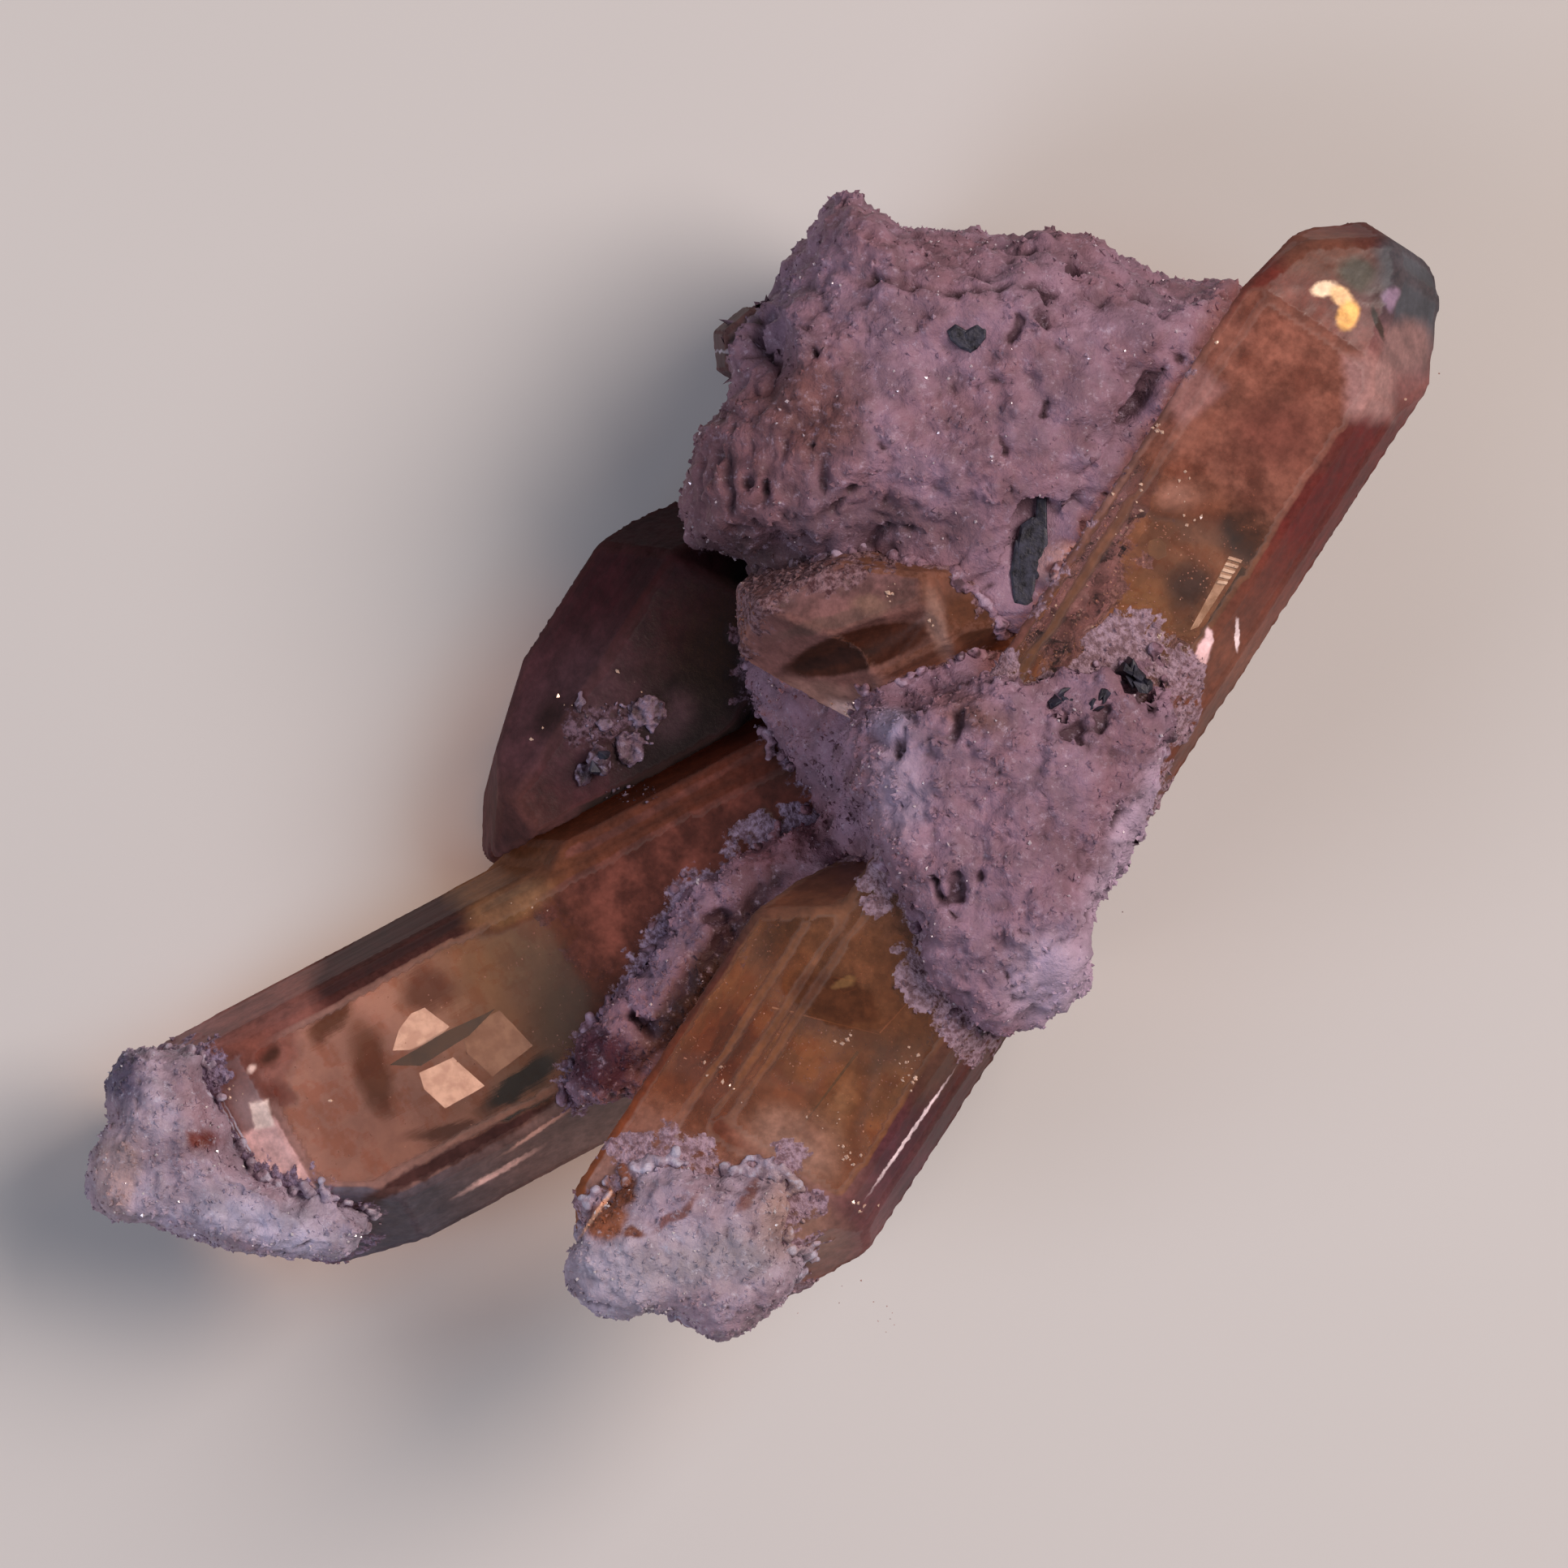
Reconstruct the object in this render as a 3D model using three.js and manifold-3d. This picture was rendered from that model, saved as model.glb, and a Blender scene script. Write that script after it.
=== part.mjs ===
// A topaz specimen: intergrown sherry topaz prisms on a loose piece of lavender rhyolite.
// Millimetres, +Z up. The rock rests on its flat broken underside at z = 0, and the origin is
// under the middle of the specimen.
import * as THREE from "three";
import { ConvexGeometry } from "three/addons/geometries/ConvexGeometry.js";
import { ImprovedNoise } from "three/addons/math/ImprovedNoise.js";
import { mergeVertices } from "three/addons/utils/BufferGeometryUtils.js";
import Module from "manifold-3d";

const wasm = await Module();
wasm.setup();

// ---------------------------------------------------------------- driving dimensions
const GAP = 0.3; // between neighbouring pieces
const LONG = { across: 3.3, face: 2.45 }; // long prism: from its axis to its right edge and broad face
const WIDE = { left: 4.95, face: 2.3 }; // the wider prism grown along its lower half
const LEFT = { left: 4.1, right: 4.85, face: 3.1, back: 3.3 }; // left crystal, from its axis
const BACK = { left: 3.8, face: 2.3, back: 2.3 }; // crystal behind, from its axis
const SHORT = { top: 2.9, bottom: 2.2 }; // short crystal, from its middle
const GRAIN_SHOWS = 0.45; // share of a dark grain's height above the rock
const ROUGH = { wide: 3.4, deep: 0.45 }; // the rock's lumps
const GRAINY = { wide: 1.3, deep: 0.22 }; // the finer bumps on them
const BROKEN = { wide: 0.45, deep: 1.3 }; // its uneven undercut sides, as shares of a lump

// Angles between topaz's faces. The prism's are measured around the c axis, from (110), and the
// terminations' from the c axis.
const M_TO_M = 55.7; // (110) to (1-10)
const M_TO_L = 18.7; // (110) to (120)
const M_TO_B = 62.2; // (110) to (010)
const M_TO_NEXT_L = 105.6; // (110) to (-120)
const TILT = { f: 62.3, o: 63.9, d: 43.6, u: 45.6, i: 34.2 };
const LOWER = (tilt) => 180 - tilt; // the same face at the crystal's other end

const PARALLEL = 1e-6; // planes whose normals span less than this meet nowhere
const TOUCH = 1e-6; // how far outside a face a corner may lie
const SAME = 1e-3; // corners nearer than this are one
const WELD = 1e-4; // vertices nearer than this are one
const HALL = 80; // a block wider than the specimen, for the flat underside

// ---------------------------------------------------------------- crystals from flat faces
const radians = THREE.MathUtils.degToRad;

// A face of a crystal that lies along its own +Y with its broad face up. The normal is `around`
// degrees from up towards +X and `lean` degrees from +Y, and the face goes through `point`.
function face(around, lean, point) {
  const across = Math.sin(radians(lean));
  const [x, z] = [Math.sin(radians(around)), Math.cos(radians(around))];
  const normal = new THREE.Vector3(x * across, Math.cos(radians(lean)), z * across);
  return new THREE.Plane().setFromNormalAndCoplanarPoint(normal, new THREE.Vector3(...point));
}

// A face of a stubby crystal, whose normal heads `heading` degrees from +X and rises `rise` degrees.
function facet(heading, rise, point) {
  const flat = Math.cos(radians(rise));
  const [x, y] = [Math.cos(radians(heading)), Math.sin(radians(heading))];
  const normal = new THREE.Vector3(x * flat, y * flat, Math.sin(radians(rise)));
  return new THREE.Plane().setFromNormalAndCoplanarPoint(normal, new THREE.Vector3(...point));
}

// The point that three faces share, or null where they share none.
function corner(a, b, c) {
  const bc = b.normal.clone().cross(c.normal);
  const volume = a.normal.dot(bc);
  if (Math.abs(volume) < PARALLEL) return null;
  const ca = c.normal.clone().cross(a.normal);
  const ab = a.normal.clone().cross(b.normal);
  return bc
    .multiplyScalar(-a.constant)
    .addScaledVector(ca, -b.constant)
    .addScaledVector(ab, -c.constant)
    .divideScalar(volume);
}

// The convex solid inside all of the faces, each moved outwards by `grow`.
function crystal(faces, grow = 0) {
  const planes = faces.map((f) => new THREE.Plane(f.normal, f.constant - grow));
  const corners = [];
  planes.forEach((a, i) =>
    planes.slice(i + 1).forEach((b, j) =>
      planes.slice(i + j + 2).forEach((c) => {
        const point = corner(a, b, c);
        if (!point || planes.some((p) => p.distanceToPoint(point) > TOUCH)) return;
        if (corners.every((other) => other.distanceTo(point) > SAME)) corners.push(point);
      }),
    ),
  );
  return new ConvexGeometry(corners);
}

// The place of a crystal: its middle, the heading of its axis from +X, and how far its far end
// is raised, in degrees.
function place([x, y, z], heading, raised = 0) {
  return new THREE.Matrix4()
    .makeTranslation(x, y, z)
    .multiply(new THREE.Matrix4().makeRotationZ(radians(heading - 90)))
    .multiply(new THREE.Matrix4().makeRotationX(radians(raised)));
}

// ---------------------------------------------------------------- solids
function solidOf(geometry, matrix = new THREE.Matrix4()) {
  const bare = new THREE.BufferGeometry();
  const flat = geometry.index ? geometry.toNonIndexed() : geometry;
  bare.setAttribute("position", flat.getAttribute("position").clone());
  const merged = mergeVertices(bare.applyMatrix4(matrix), WELD);
  return new wasm.Manifold(
    new wasm.Mesh({
      numProp: 3,
      vertProperties: merged.attributes.position.array,
      triVerts: new Uint32Array(merged.index.array),
    }),
  );
}

function geometryOf(solid) {
  const { vertProperties, triVerts } = solid.getMesh();
  const indexed = new THREE.BufferGeometry();
  indexed.setAttribute("position", new THREE.BufferAttribute(vertProperties, 3));
  indexed.setIndex(new THREE.BufferAttribute(triVerts, 1));
  const flat = indexed.toNonIndexed();
  flat.computeVertexNormals();
  return flat;
}

const joined = (solids) => solids.reduce((all, next) => all.add(next));
const cut = (solid, tools) => tools.reduce((rest, tool) => rest.subtract(tool), solid);
const largest = (solid) => solid.decompose().reduce((a, b) => (a.volume() > b.volume() ? a : b));
const crystalSolid = ({ prisms, place: at }, grow = 0) =>
  joined(prisms.map((faces) => solidOf(crystal(faces, grow), at)));

// ---------------------------------------------------------------- rock from lumps
const noise = new ImprovedNoise();
const bump = (p, { wide, deep }) => deep * noise.noise(p.x / wide, p.y / wide, p.z / wide);

// How far an outline reaches from `centre` in the direction `angle`.
function reach(outline, [cx, cy], angle) {
  const [dx, dy] = [Math.cos(angle), Math.sin(angle)];
  let far = 0;
  outline.forEach(([ax, ay], i) => {
    const [bx, by] = outline[(i + 1) % outline.length];
    const [ex, ey] = [bx - ax, by - ay];
    const across = dx * ey - dy * ex;
    const along = ((ax - cx) * ey - (ay - cy) * ex) / across;
    const share = ((ax - cx) * dy - (ay - cy) * dx) / across;
    if (along > far && share >= -TOUCH && share <= 1 + TOUCH) far = along;
  });
  return far;
}

// A rough lump with this outline seen from above. It rises `up` above and reaches `down` below
// its centre, and `round` shapes its sides, from 1, an egg's, towards 0, a slab's. Below its centre
// its sides break inwards by about `undercut` mm.
function lump({ outline, centre, up, down, detail, round = 0.6, rough = 1, undercut = 0 }) {
  const ball = new THREE.BufferGeometry();
  ball.setAttribute("position", new THREE.IcosahedronGeometry(1, detail).getAttribute("position"));
  const merged = mergeVertices(ball, WELD);
  const points = merged.getAttribute("position");
  for (let i = 0; i < points.count; i++) {
    const way = new THREE.Vector3().fromBufferAttribute(points, i).normalize();
    const angle = Math.atan2(way.y, way.x);
    const broken = undercut * Math.sqrt(Math.max(0, -way.z)) * (1 + bump(way, BROKEN));
    const across = (reach(outline, centre, angle) - broken) * Math.hypot(way.x, way.y) ** round;
    const height = (way.z > 0 ? up : down) * Math.sign(way.z) * Math.abs(way.z) ** round;
    const p = new THREE.Vector3(Math.cos(angle) * across, Math.sin(angle) * across, height);
    p.add(new THREE.Vector3(...centre));
    p.addScaledVector(way, rough * (bump(p, ROUGH) + bump(p, GRAINY)));
    points.setXYZ(i, ...p);
  }
  return solidOf(merged);
}

// ---------------------------------------------------------------- the topaz crystals
// The long prism crosses the whole specimen.
const longPrism = [
  face(0, 90, [0, 0, LONG.face]),
  face(M_TO_M, 90, [2.05, 0, LONG.face]),
  face(M_TO_M + M_TO_L, 90, [LONG.across, 0, 0]),
  face(180 - M_TO_L, 90, [LONG.across, 0, -0.7]),
  face(180, 90, [0, 0, -2.5]),
  face(180 + M_TO_M, 90, [-2.0, 0, -1.8]),
  face(-M_TO_NEXT_L, 90, [-3.0, 0, 1.9]),
  face(-M_TO_L, 90, [-2.3, 0, LONG.face]),
  face(0, TILT.o, [0, 16.6, LONG.face]),
  face(M_TO_M, TILT.o, [2.6, 15.4, 2.0]),
  face(-M_TO_B, TILT.f, [-2.85, 17.3, 1.6]),
  face(M_TO_M, TILT.d, [1.75, 18.95, 0.6]),
  face(-M_TO_B, TILT.i, [-1.2, 19.5, 0.4]),
  face(180, TILT.u, [0, 18.6, -2.5]),
  face(180 + M_TO_M, TILT.o, [-2.0, 18.2, -1.4]),
  face(0, 0, [0, 20.1, 0]),
  face(0, 180, [0, -14, 0]),
];

// The wider prism shares its right side with the long one, and its upper end is a step on it.
const widePrism = [
  face(0, 90, [0, 0, WIDE.face]),
  face(M_TO_M, 90, [2.1, 0, WIDE.face]),
  face(M_TO_M + M_TO_L, 90, [LONG.across, 0, 0]),
  face(180 - M_TO_L, 90, [LONG.across, 0, -0.8]),
  face(180, 90, [0, 0, -2.6]),
  face(180 + M_TO_M, 90, [-4.0, 0, -1.4]),
  face(-M_TO_NEXT_L, 90, [-WIDE.left, 0, 0.9]),
  face(-M_TO_L, 90, [-3.6, 0, WIDE.face]),
  face(-M_TO_B, TILT.d, [-WIDE.left, -7.2, 0.8]),
  face(-M_TO_B, 20, [-3.2, -5.0, WIDE.face]),
  face(M_TO_B, LOWER(TILT.f), [3.1, -14.9, 0]),
  face(0, LOWER(TILT.u), [0, -17.6, WIDE.face]),
  face(-M_TO_B, LOWER(TILT.i), [-WIDE.left, -18.6, 0]),
  face(180, LOWER(TILT.u), [0, -17.5, -2.6]),
  face(0, 180, [0, -19.7, 0]),
];

const longCrystal = { place: place([8.41, -0.71, 10.8], 57, 1.6), prisms: [longPrism, widePrism] };

// The broad prism at the lower left, with a narrow dome face and a chisel end under its crust.
const leftPrism = [
  face(0, 90, [0, 0, LEFT.face]),
  face(M_TO_L, 90, [2.6, 0, LEFT.face]),
  face(M_TO_B, 90, [3.35, 0, LEFT.face - 0.25]),
  face(M_TO_NEXT_L, 90, [LEFT.right, 0, 0]),
  face(180 - M_TO_M, 90, [LEFT.right - 0.4, 0, -1.6]),
  face(180, 90, [0, 0, -LEFT.back]),
  face(180 + M_TO_B, 90, [-3.4, 0, -2.2]),
  face(-M_TO_M - M_TO_L, 90, [-LEFT.left, 0, 0.6]),
  face(-M_TO_M, 90, [-3.1, 0, LEFT.face]),
  face(0, LOWER(TILT.o), [0, -7.1, LEFT.face]),
  face(0, LOWER(TILT.u), [0, -8.4, LEFT.face - 0.6]),
  face(M_TO_B, LOWER(TILT.f), [LEFT.right, -4.9, 0]),
  face(M_TO_B, LOWER(TILT.i), [3.0, -7.9, 0]),
  face(-M_TO_B, LOWER(TILT.d), [-LEFT.left, -9.4, 0]),
  face(180, LOWER(TILT.u), [0, -9.6, -LEFT.back]),
  face(0, 180, [0, -12.3, 0]),
  face(0, 0, [0, 14.0, 0]),
];

// A darker growth step along its upper right half.
const leftStep = [
  face(0, 90, [0, 0, LEFT.face - 0.35]),
  face(M_TO_B, 90, [2.6, 0, LEFT.face - 0.8]),
  face(M_TO_NEXT_L, 90, [3.4, 0, 0]),
  face(180, 90, [0, 0, 0.4 - LEFT.back]),
  face(180 + M_TO_B, 90, [-4.1, 0, -1.6]),
  face(-M_TO_M - M_TO_L, 90, [-4.6, 0, 0.3]),
  face(-M_TO_M, 90, [-3.9, 0, LEFT.face - 0.35]),
  face(-M_TO_B, LOWER(TILT.f), [-4.5, 3.6, 0.4]),
  face(0, 180, [0, 1.5, 0]),
  face(0, 0, [0, 14.0, 0]),
];

const leftCrystal = { place: place([-8.4, -8.15, 4.3], 28, -1), prisms: [leftPrism, leftStep] };

// The dark crystal behind, whose lower end the left crystal hides.
const backCrystal = {
  place: place([-4.1, 1.2, 3.9], 57, 2),
  prisms: [
    [
      face(6, 90, [0, 0, BACK.face]),
      face(-38, 90, [-2.2, 0, BACK.face - 0.2]),
      face(-M_TO_NEXT_L, 90, [-BACK.left, 0, 0.4]),
      face(180 + M_TO_M, 90, [-3.2, 0, -1.2]),
      face(180, 90, [0, 0, -BACK.back]),
      face(M_TO_NEXT_L, 90, [3.6, 0, 0]),
      face(M_TO_M, 90, [3.2, 0, 1.4]),
      face(-90, LOWER(74), [-BACK.left, -0.2, 0]),
      face(-80, LOWER(58), [-2.5, -4.0, 0]),
      face(-20, LOWER(TILT.u), [-1.5, -4.6, BACK.face - 0.6]),
      face(0, 180, [0, -5.9, 0]),
      face(-M_TO_B, TILT.d, [-BACK.left, 4.5, 0.4]),
      face(0, TILT.u, [0, 5.4, BACK.face]),
      face(0, 0, [0, 6.6, 0]),
    ],
  ],
};

// The short crystal in the middle leans on the long one. Its lower edge is a frosted band under a
// shallow sloping break.
const shortCrystal = {
  place: new THREE.Matrix4().makeTranslation(3.3, 3.9, 10.5),
  prisms: [
    [
      facet(112, 78, [-1.6, 0.6, SHORT.top]),
      facet(291, 68, [0.1, 0.2, SHORT.top]),
      facet(242, 30, [0.1, -1.25, SHORT.top - 0.75]),
      facet(297, 28, [0.9, -1.0, SHORT.top - 0.7]),
      facet(180, 12, [-3.95, 0.1, 0]),
      facet(116, 14, [-2.9, 2.0, 0]),
      facet(85, 20, [0.3, 3.1, 0]),
      facet(20, 62, [1.95, 0.7, SHORT.top]),
      facet(36, 4, [4.2, 0.5, 0]),
      facet(240, -30, [-1.6, -1.9, -0.4]),
      facet(200, -40, [-3.4, 0, -0.8]),
      facet(0, -90, [0, 0, -SHORT.bottom]),
    ],
  ],
};

// A striated splinter at the rock's upper left edge.
const edgeCrystal = {
  place: new THREE.Matrix4().makeTranslation(-0.1, 12.75, 8.6),
  prisms: [
    [
      facet(100, 70, [-0.3, 0.2, 0.9]),
      facet(262, 62, [-0.3, -0.3, 0.85]),
      facet(128, 8, [-0.8, 0.9, 0]),
      facet(186, 10, [-1.15, 0, 0]),
      facet(238, 6, [-0.9, -0.7, 0]),
      facet(290, 0, [0, -1.3, 0]),
      facet(80, 0, [0, 1.3, 0]),
      facet(0, 0, [1.7, 0, 0]),
      facet(0, -90, [0, 0, -1.1]),
    ],
  ],
};

// ---------------------------------------------------------------- the rock
const rockLumps = [
  {
    // upper lump, whose peaks make the skyline
    outline: [
      [2.8, 17.7], [3.6, 16.7], [4.8, 16.3], [6.6, 16.2], [7.7, 16.0], [8.8, 16.6], [10.1, 15.9],
      [11.6, 15.2], [12.8, 14.8], [15.0, 14.8], [14.2, 12.6], [12.6, 10.2], [11.2, 8.2], [9.6, 5.9],
      [7.3, 5.0], [5.2, 5.6], [2.8, 6.6], [-0.3, 6.3], [-2.8, 7.2], [-2.4, 8.9], [-2.2, 9.9],
      [-1.2, 10.8], [-0.8, 11.6], [-1.0, 12.6], [-0.6, 13.6], [0.3, 14.8], [1.6, 16.1], [2.2, 17.1],
    ],
    centre: [6.3, 10.9, 7.6],
    up: 6.1,
    down: 8.2,
    detail: 9,
    undercut: 1.6,
  },
  {
    // crust over the middle of the long crystal, down both its sides
    outline: [
      [3.5, 1.7], [5.5, 2.4], [6.6, 2.9], [9.0, 3.1], [11.0, 3.4], [13.0, 2.9], [13.4, 2.2],
      [12.8, 0.5], [12.0, -1.3], [11.3, -3.0], [10.2, -4.2], [9.8, -4.9], [10.1, -5.9], [10.1, -6.7],
      [9.3, -7.3], [8.0, -7.8], [7.1, -8.6], [6.0, -8.1], [5.2, -7.4], [4.7, -6.2], [4.5, -4.7],
      [3.6, -3.9], [3.5, -2.2], [3.2, -1.2], [2.6, -0.6], [2.4, 0.5], [2.8, 1.3],
    ],
    centre: [7.9, -1.8, 10.2],
    up: 4.9,
    down: 7.0,
    detail: 8,
    round: 0.5,
    undercut: 0.7,
  },
  {
    // band of crust across the left crystal, beside the long one
    outline: [
      [3.4, -1.4], [1.7, -1.6], [-0.4, -2.4], [-1.9, -3.9], [-3.1, -5.6], [-4.8, -7.5], [-5.7, -9.0],
      [-6.0, -10.2], [-4.9, -10.4], [-3.6, -10.1], [-2.6, -8.4], [-1.0, -6.4], [0.8, -4.6], [3.4, -3.4],
    ],
    centre: [-1.6, -5.2, 7.5],
    up: 1.7,
    down: 1.4,
    detail: 5,
    rough: 0.7,
  },
  {
    // foot that carries the back and left crystals
    outline: [
      [-5.2, 4.8], [-2.6, 7.2], [-0.2, 10.2], [0.6, 13.0], [2.6, 15.4], [9.2, 15.4], [13.0, 12.8],
      [11.9, 7.6], [11.2, 3.0], [11.3, -0.6], [9.8, -3.6], [8.8, -6.6], [5.2, -7.2], [1.2, -8.0],
      [-3.6, -7.4], [-6.4, -4.4], [-7.6, -1.6], [-6.9, 2.0],
    ],
    centre: [2.6, 3.4, 1.8],
    up: 2.9,
    down: 3.6,
    detail: 7,
    round: 0.7,
    rough: 1.2,
  },
  {
    // pillar under the long crystal, between the foot and the crust
    outline: [
      [0.6, 8.0], [6.0, 9.6], [11.6, 7.6], [11.0, 3.0], [11.3, -0.6], [9.6, -4.6], [8.4, -6.8],
      [5.2, -6.6], [2.8, -4.2], [0.8, -0.6], [-0.4, 3.4],
    ],
    centre: [6.0, 1.8, 5.0],
    up: 5.0,
    down: 5.0,
    detail: 5,
    round: 0.5,
  },
];

// Crusts of the same rock that cling to the crystals.
const crusts = {
  crust_left_tip: {
    outline: [
      [-17.4, -8.7], [-18.6, -8.9], [-19.6, -8.9], [-20.3, -9.8], [-20.0, -10.9], [-20.7, -12.3],
      [-20.7, -13.4], [-20.0, -14.1], [-18.4, -14.3], [-16.4, -14.9], [-14.7, -15.3], [-12.6, -15.25],
      [-12.0, -14.2], [-13.6, -13.7], [-15.5, -13.3], [-16.4, -12.0], [-17.2, -10.5],
    ],
    centre: [-17.9, -12.6, 5.2],
    up: 3.1,
    down: 4.3,
    detail: 6,
    round: 0.5,
    rough: 0.7,
    undercut: 0.8,
  },
  crust_lower_tip: {
    outline: [
      [-4.4, -12.0], [-3.4, -11.7], [-1.4, -11.9], [0.6, -12.0], [1.6, -12.5], [1.6, -13.4],
      [1.2, -14.6], [1.6, -15.4], [0.5, -16.4], [-0.4, -17.2], [-1.0, -17.6], [-1.8, -17.5],
      [-2.7, -16.9], [-3.5, -16.8], [-4.2, -17.1], [-5.0, -17.0], [-6.0, -16.2], [-6.1, -15.2],
      [-5.8, -14.4], [-5.0, -13.4],
    ],
    centre: [-2.2, -14.7, 10.8],
    up: 2.9,
    down: 4.2,
    detail: 7,
    round: 0.5,
    rough: 0.8,
    undercut: 0.7,
  },
  crust_back_patch: {
    outline: [
      [-5.9, 0.4], [-5.7, -0.9], [-5.3, -1.4], [-4.6, -1.1], [-3.4, -0.2], [-2.9, 1.1], [-3.2, 2.1],
      [-4.0, 2.3], [-5.1, 1.6],
    ],
    centre: [-4.4, 0.5, 6.4],
    up: 0.75,
    down: 0.9,
    detail: 3,
    round: 0.7,
    rough: 0.4,
  },
};

// ---------------------------------------------------------------- dark grains in the rock
// Middle seen from above, half width, half length and half height, and heading.
const darkGrains = {
  pseudobrookite_blade: { at: [8.1, 6.5], half: [0.5, 1.75, 0.5], heading: 78 },
  dark_grain_1: { at: [6.3, 13.1], half: [0.5, 0.65, 0.5], heading: 10 },
  dark_grain_2: { at: [11.5, 2.7], half: [0.45, 0.6, 0.5], heading: 130 },
  dark_grain_3: { at: [9.2, 2.0], half: [0.4, 0.45, 0.4], heading: 30 },
  dark_grain_4: { at: [10.4, 1.9], half: [0.32, 0.42, 0.4], heading: 50 },
  dark_grain_5: { at: [-5.0, 0.1], half: [0.3, 0.42, 0.3], heading: 75 },
};
const GRAIN_SIDES = 6;

function grainFaces([halfWidth, halfLength, halfHeight]) {
  const sides = Array.from({ length: GRAIN_SIDES }, (_, i) => {
    const around = (360 * i) / GRAIN_SIDES;
    const [x, z] = [Math.sin(radians(around)), Math.cos(radians(around))];
    return face(around, 90, [x * halfWidth, 0, z * halfHeight]);
  });
  return [
    ...sides,
    face(60, 25, [0, halfLength, 0]),
    face(240, LOWER(25), [0, -halfLength, 0]),
    face(200, 40, [0, 0.85 * halfLength, 0]),
    face(20, LOWER(40), [0, -0.85 * halfLength, 0]),
  ];
}

// ---------------------------------------------------------------- materials
const finish = (color, roughness) => new THREE.MeshStandardMaterial({ color, roughness, metalness: 0 });
const topaz = () => finish(0xa8694c, 0.12);
const paleTopaz = () => finish(0xb98a6e, 0.08);
const rhyolite = () => finish(0x83636f, 0.9);
const paleCrust = () => finish(0x93808b, 0.9);
const darkOxide = () => finish(0x231a1f, 0.35);

// ---------------------------------------------------------------- assembly
const specimen = new THREE.Group();
specimen.name = "topaz_specimen";

function addPiece(name, solid, material) {
  const mesh = new THREE.Mesh(geometryOf(solid), material);
  mesh.name = name;
  specimen.add(mesh);
}

const socket = {
  long: crystalSolid(longCrystal, GAP),
  left: crystalSolid(leftCrystal, GAP),
  short: crystalSolid(shortCrystal, GAP),
  back: crystalSolid(backCrystal, GAP),
  edge: crystalSolid(edgeCrystal, GAP),
};

const above = solidOf(new THREE.BoxGeometry(HALL, HALL, HALL).translate(0, 0, HALL / 2));
const bareRock = cut(joined(rockLumps.map(lump)).intersect(above), Object.values(socket));
const bareCrusts = Object.entries(crusts).map(([name, crust]) => [
  name,
  cut(lump(crust), [socket.long, socket.left, socket.back]),
]);

// Grains lie bedded in the upper surface of the rock or crust under them.
const carriers = [bareRock, ...bareCrusts.map(([, solid]) => solid)];
const surfaces = carriers.map((solid) => new THREE.Mesh(geometryOf(solid)));
const grains = Object.entries(darkGrains).map(([name, { at, half, heading }]) => {
  const down = new THREE.Raycaster(new THREE.Vector3(...at, HALL), new THREE.Vector3(0, 0, -1));
  const surface = down.intersectObjects(surfaces)[0].point.z;
  const middle = surface + (2 * GRAIN_SHOWS - 1) * half[2];
  return { name, place: place([...at, middle], heading), prisms: [grainFaces(half)] };
});
const grainSockets = grains.map((grain) => crystalSolid(grain, GAP));

addPiece("topaz_long_crystal", crystalSolid(longCrystal), topaz());
addPiece("topaz_left_crystal", largest(cut(crystalSolid(leftCrystal), [socket.long])), paleTopaz());
const back = cut(crystalSolid(backCrystal), [socket.long, socket.left, socket.short]);
addPiece("topaz_back_crystal", back, topaz());
addPiece("topaz_short_crystal", cut(crystalSolid(shortCrystal), [socket.long, socket.left]), topaz());
addPiece("topaz_edge_crystal", crystalSolid(edgeCrystal), paleTopaz());
addPiece("rhyolite_matrix", largest(cut(bareRock, grainSockets)), rhyolite());
for (const [name, solid] of bareCrusts) addPiece(name, largest(cut(solid, grainSockets)), paleCrust());
for (const grain of grains) addPiece(grain.name, crystalSolid(grain), darkOxide());

export default specimen;
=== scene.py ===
"""Sherry topaz crystals on lavender rhyolite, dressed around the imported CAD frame."""

import math

import bmesh
import bpy
import numpy as np
from mathutils import Euler, Matrix, Vector, noise
from mathutils.bvhtree import BVHTree


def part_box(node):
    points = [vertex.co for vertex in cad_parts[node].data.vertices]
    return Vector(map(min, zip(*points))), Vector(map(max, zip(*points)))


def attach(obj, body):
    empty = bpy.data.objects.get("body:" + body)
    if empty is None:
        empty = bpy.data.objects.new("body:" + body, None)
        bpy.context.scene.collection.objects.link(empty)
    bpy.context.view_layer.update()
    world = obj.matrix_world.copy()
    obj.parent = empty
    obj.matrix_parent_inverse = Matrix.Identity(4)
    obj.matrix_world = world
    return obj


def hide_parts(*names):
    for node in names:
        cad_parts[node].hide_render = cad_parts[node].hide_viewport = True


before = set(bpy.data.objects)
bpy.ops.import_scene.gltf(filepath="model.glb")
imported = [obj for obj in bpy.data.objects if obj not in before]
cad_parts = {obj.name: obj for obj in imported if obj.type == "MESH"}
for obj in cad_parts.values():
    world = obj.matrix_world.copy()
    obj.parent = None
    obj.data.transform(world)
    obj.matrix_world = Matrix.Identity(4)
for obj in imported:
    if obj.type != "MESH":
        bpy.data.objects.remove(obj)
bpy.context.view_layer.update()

MM = 0.001  # sizes below are in millimetres, and Blender's are in metres
TO_MM = 1 / MM
ABOVE = 12  # over a crystal's top, in its own frame

# ---------------------------------------------------------------- driving values
FINE = {"rock": 0.125, "crust": 0.11, "long": 0.15, "left": 0.145, "back": 0.13, "short": 0.1, "edge": 0.08}
ROCK_TRIANGLES = 190_000

SPECIMEN_MIDDLE = (0.7, -0.6, 9.0)  # what the camera looks at
FRAME_WIDTH = 48.3  # width of the camera's picture at that height
CAMERA_HEIGHT = 900.0  # above that point
SENSOR = 36.0

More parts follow.
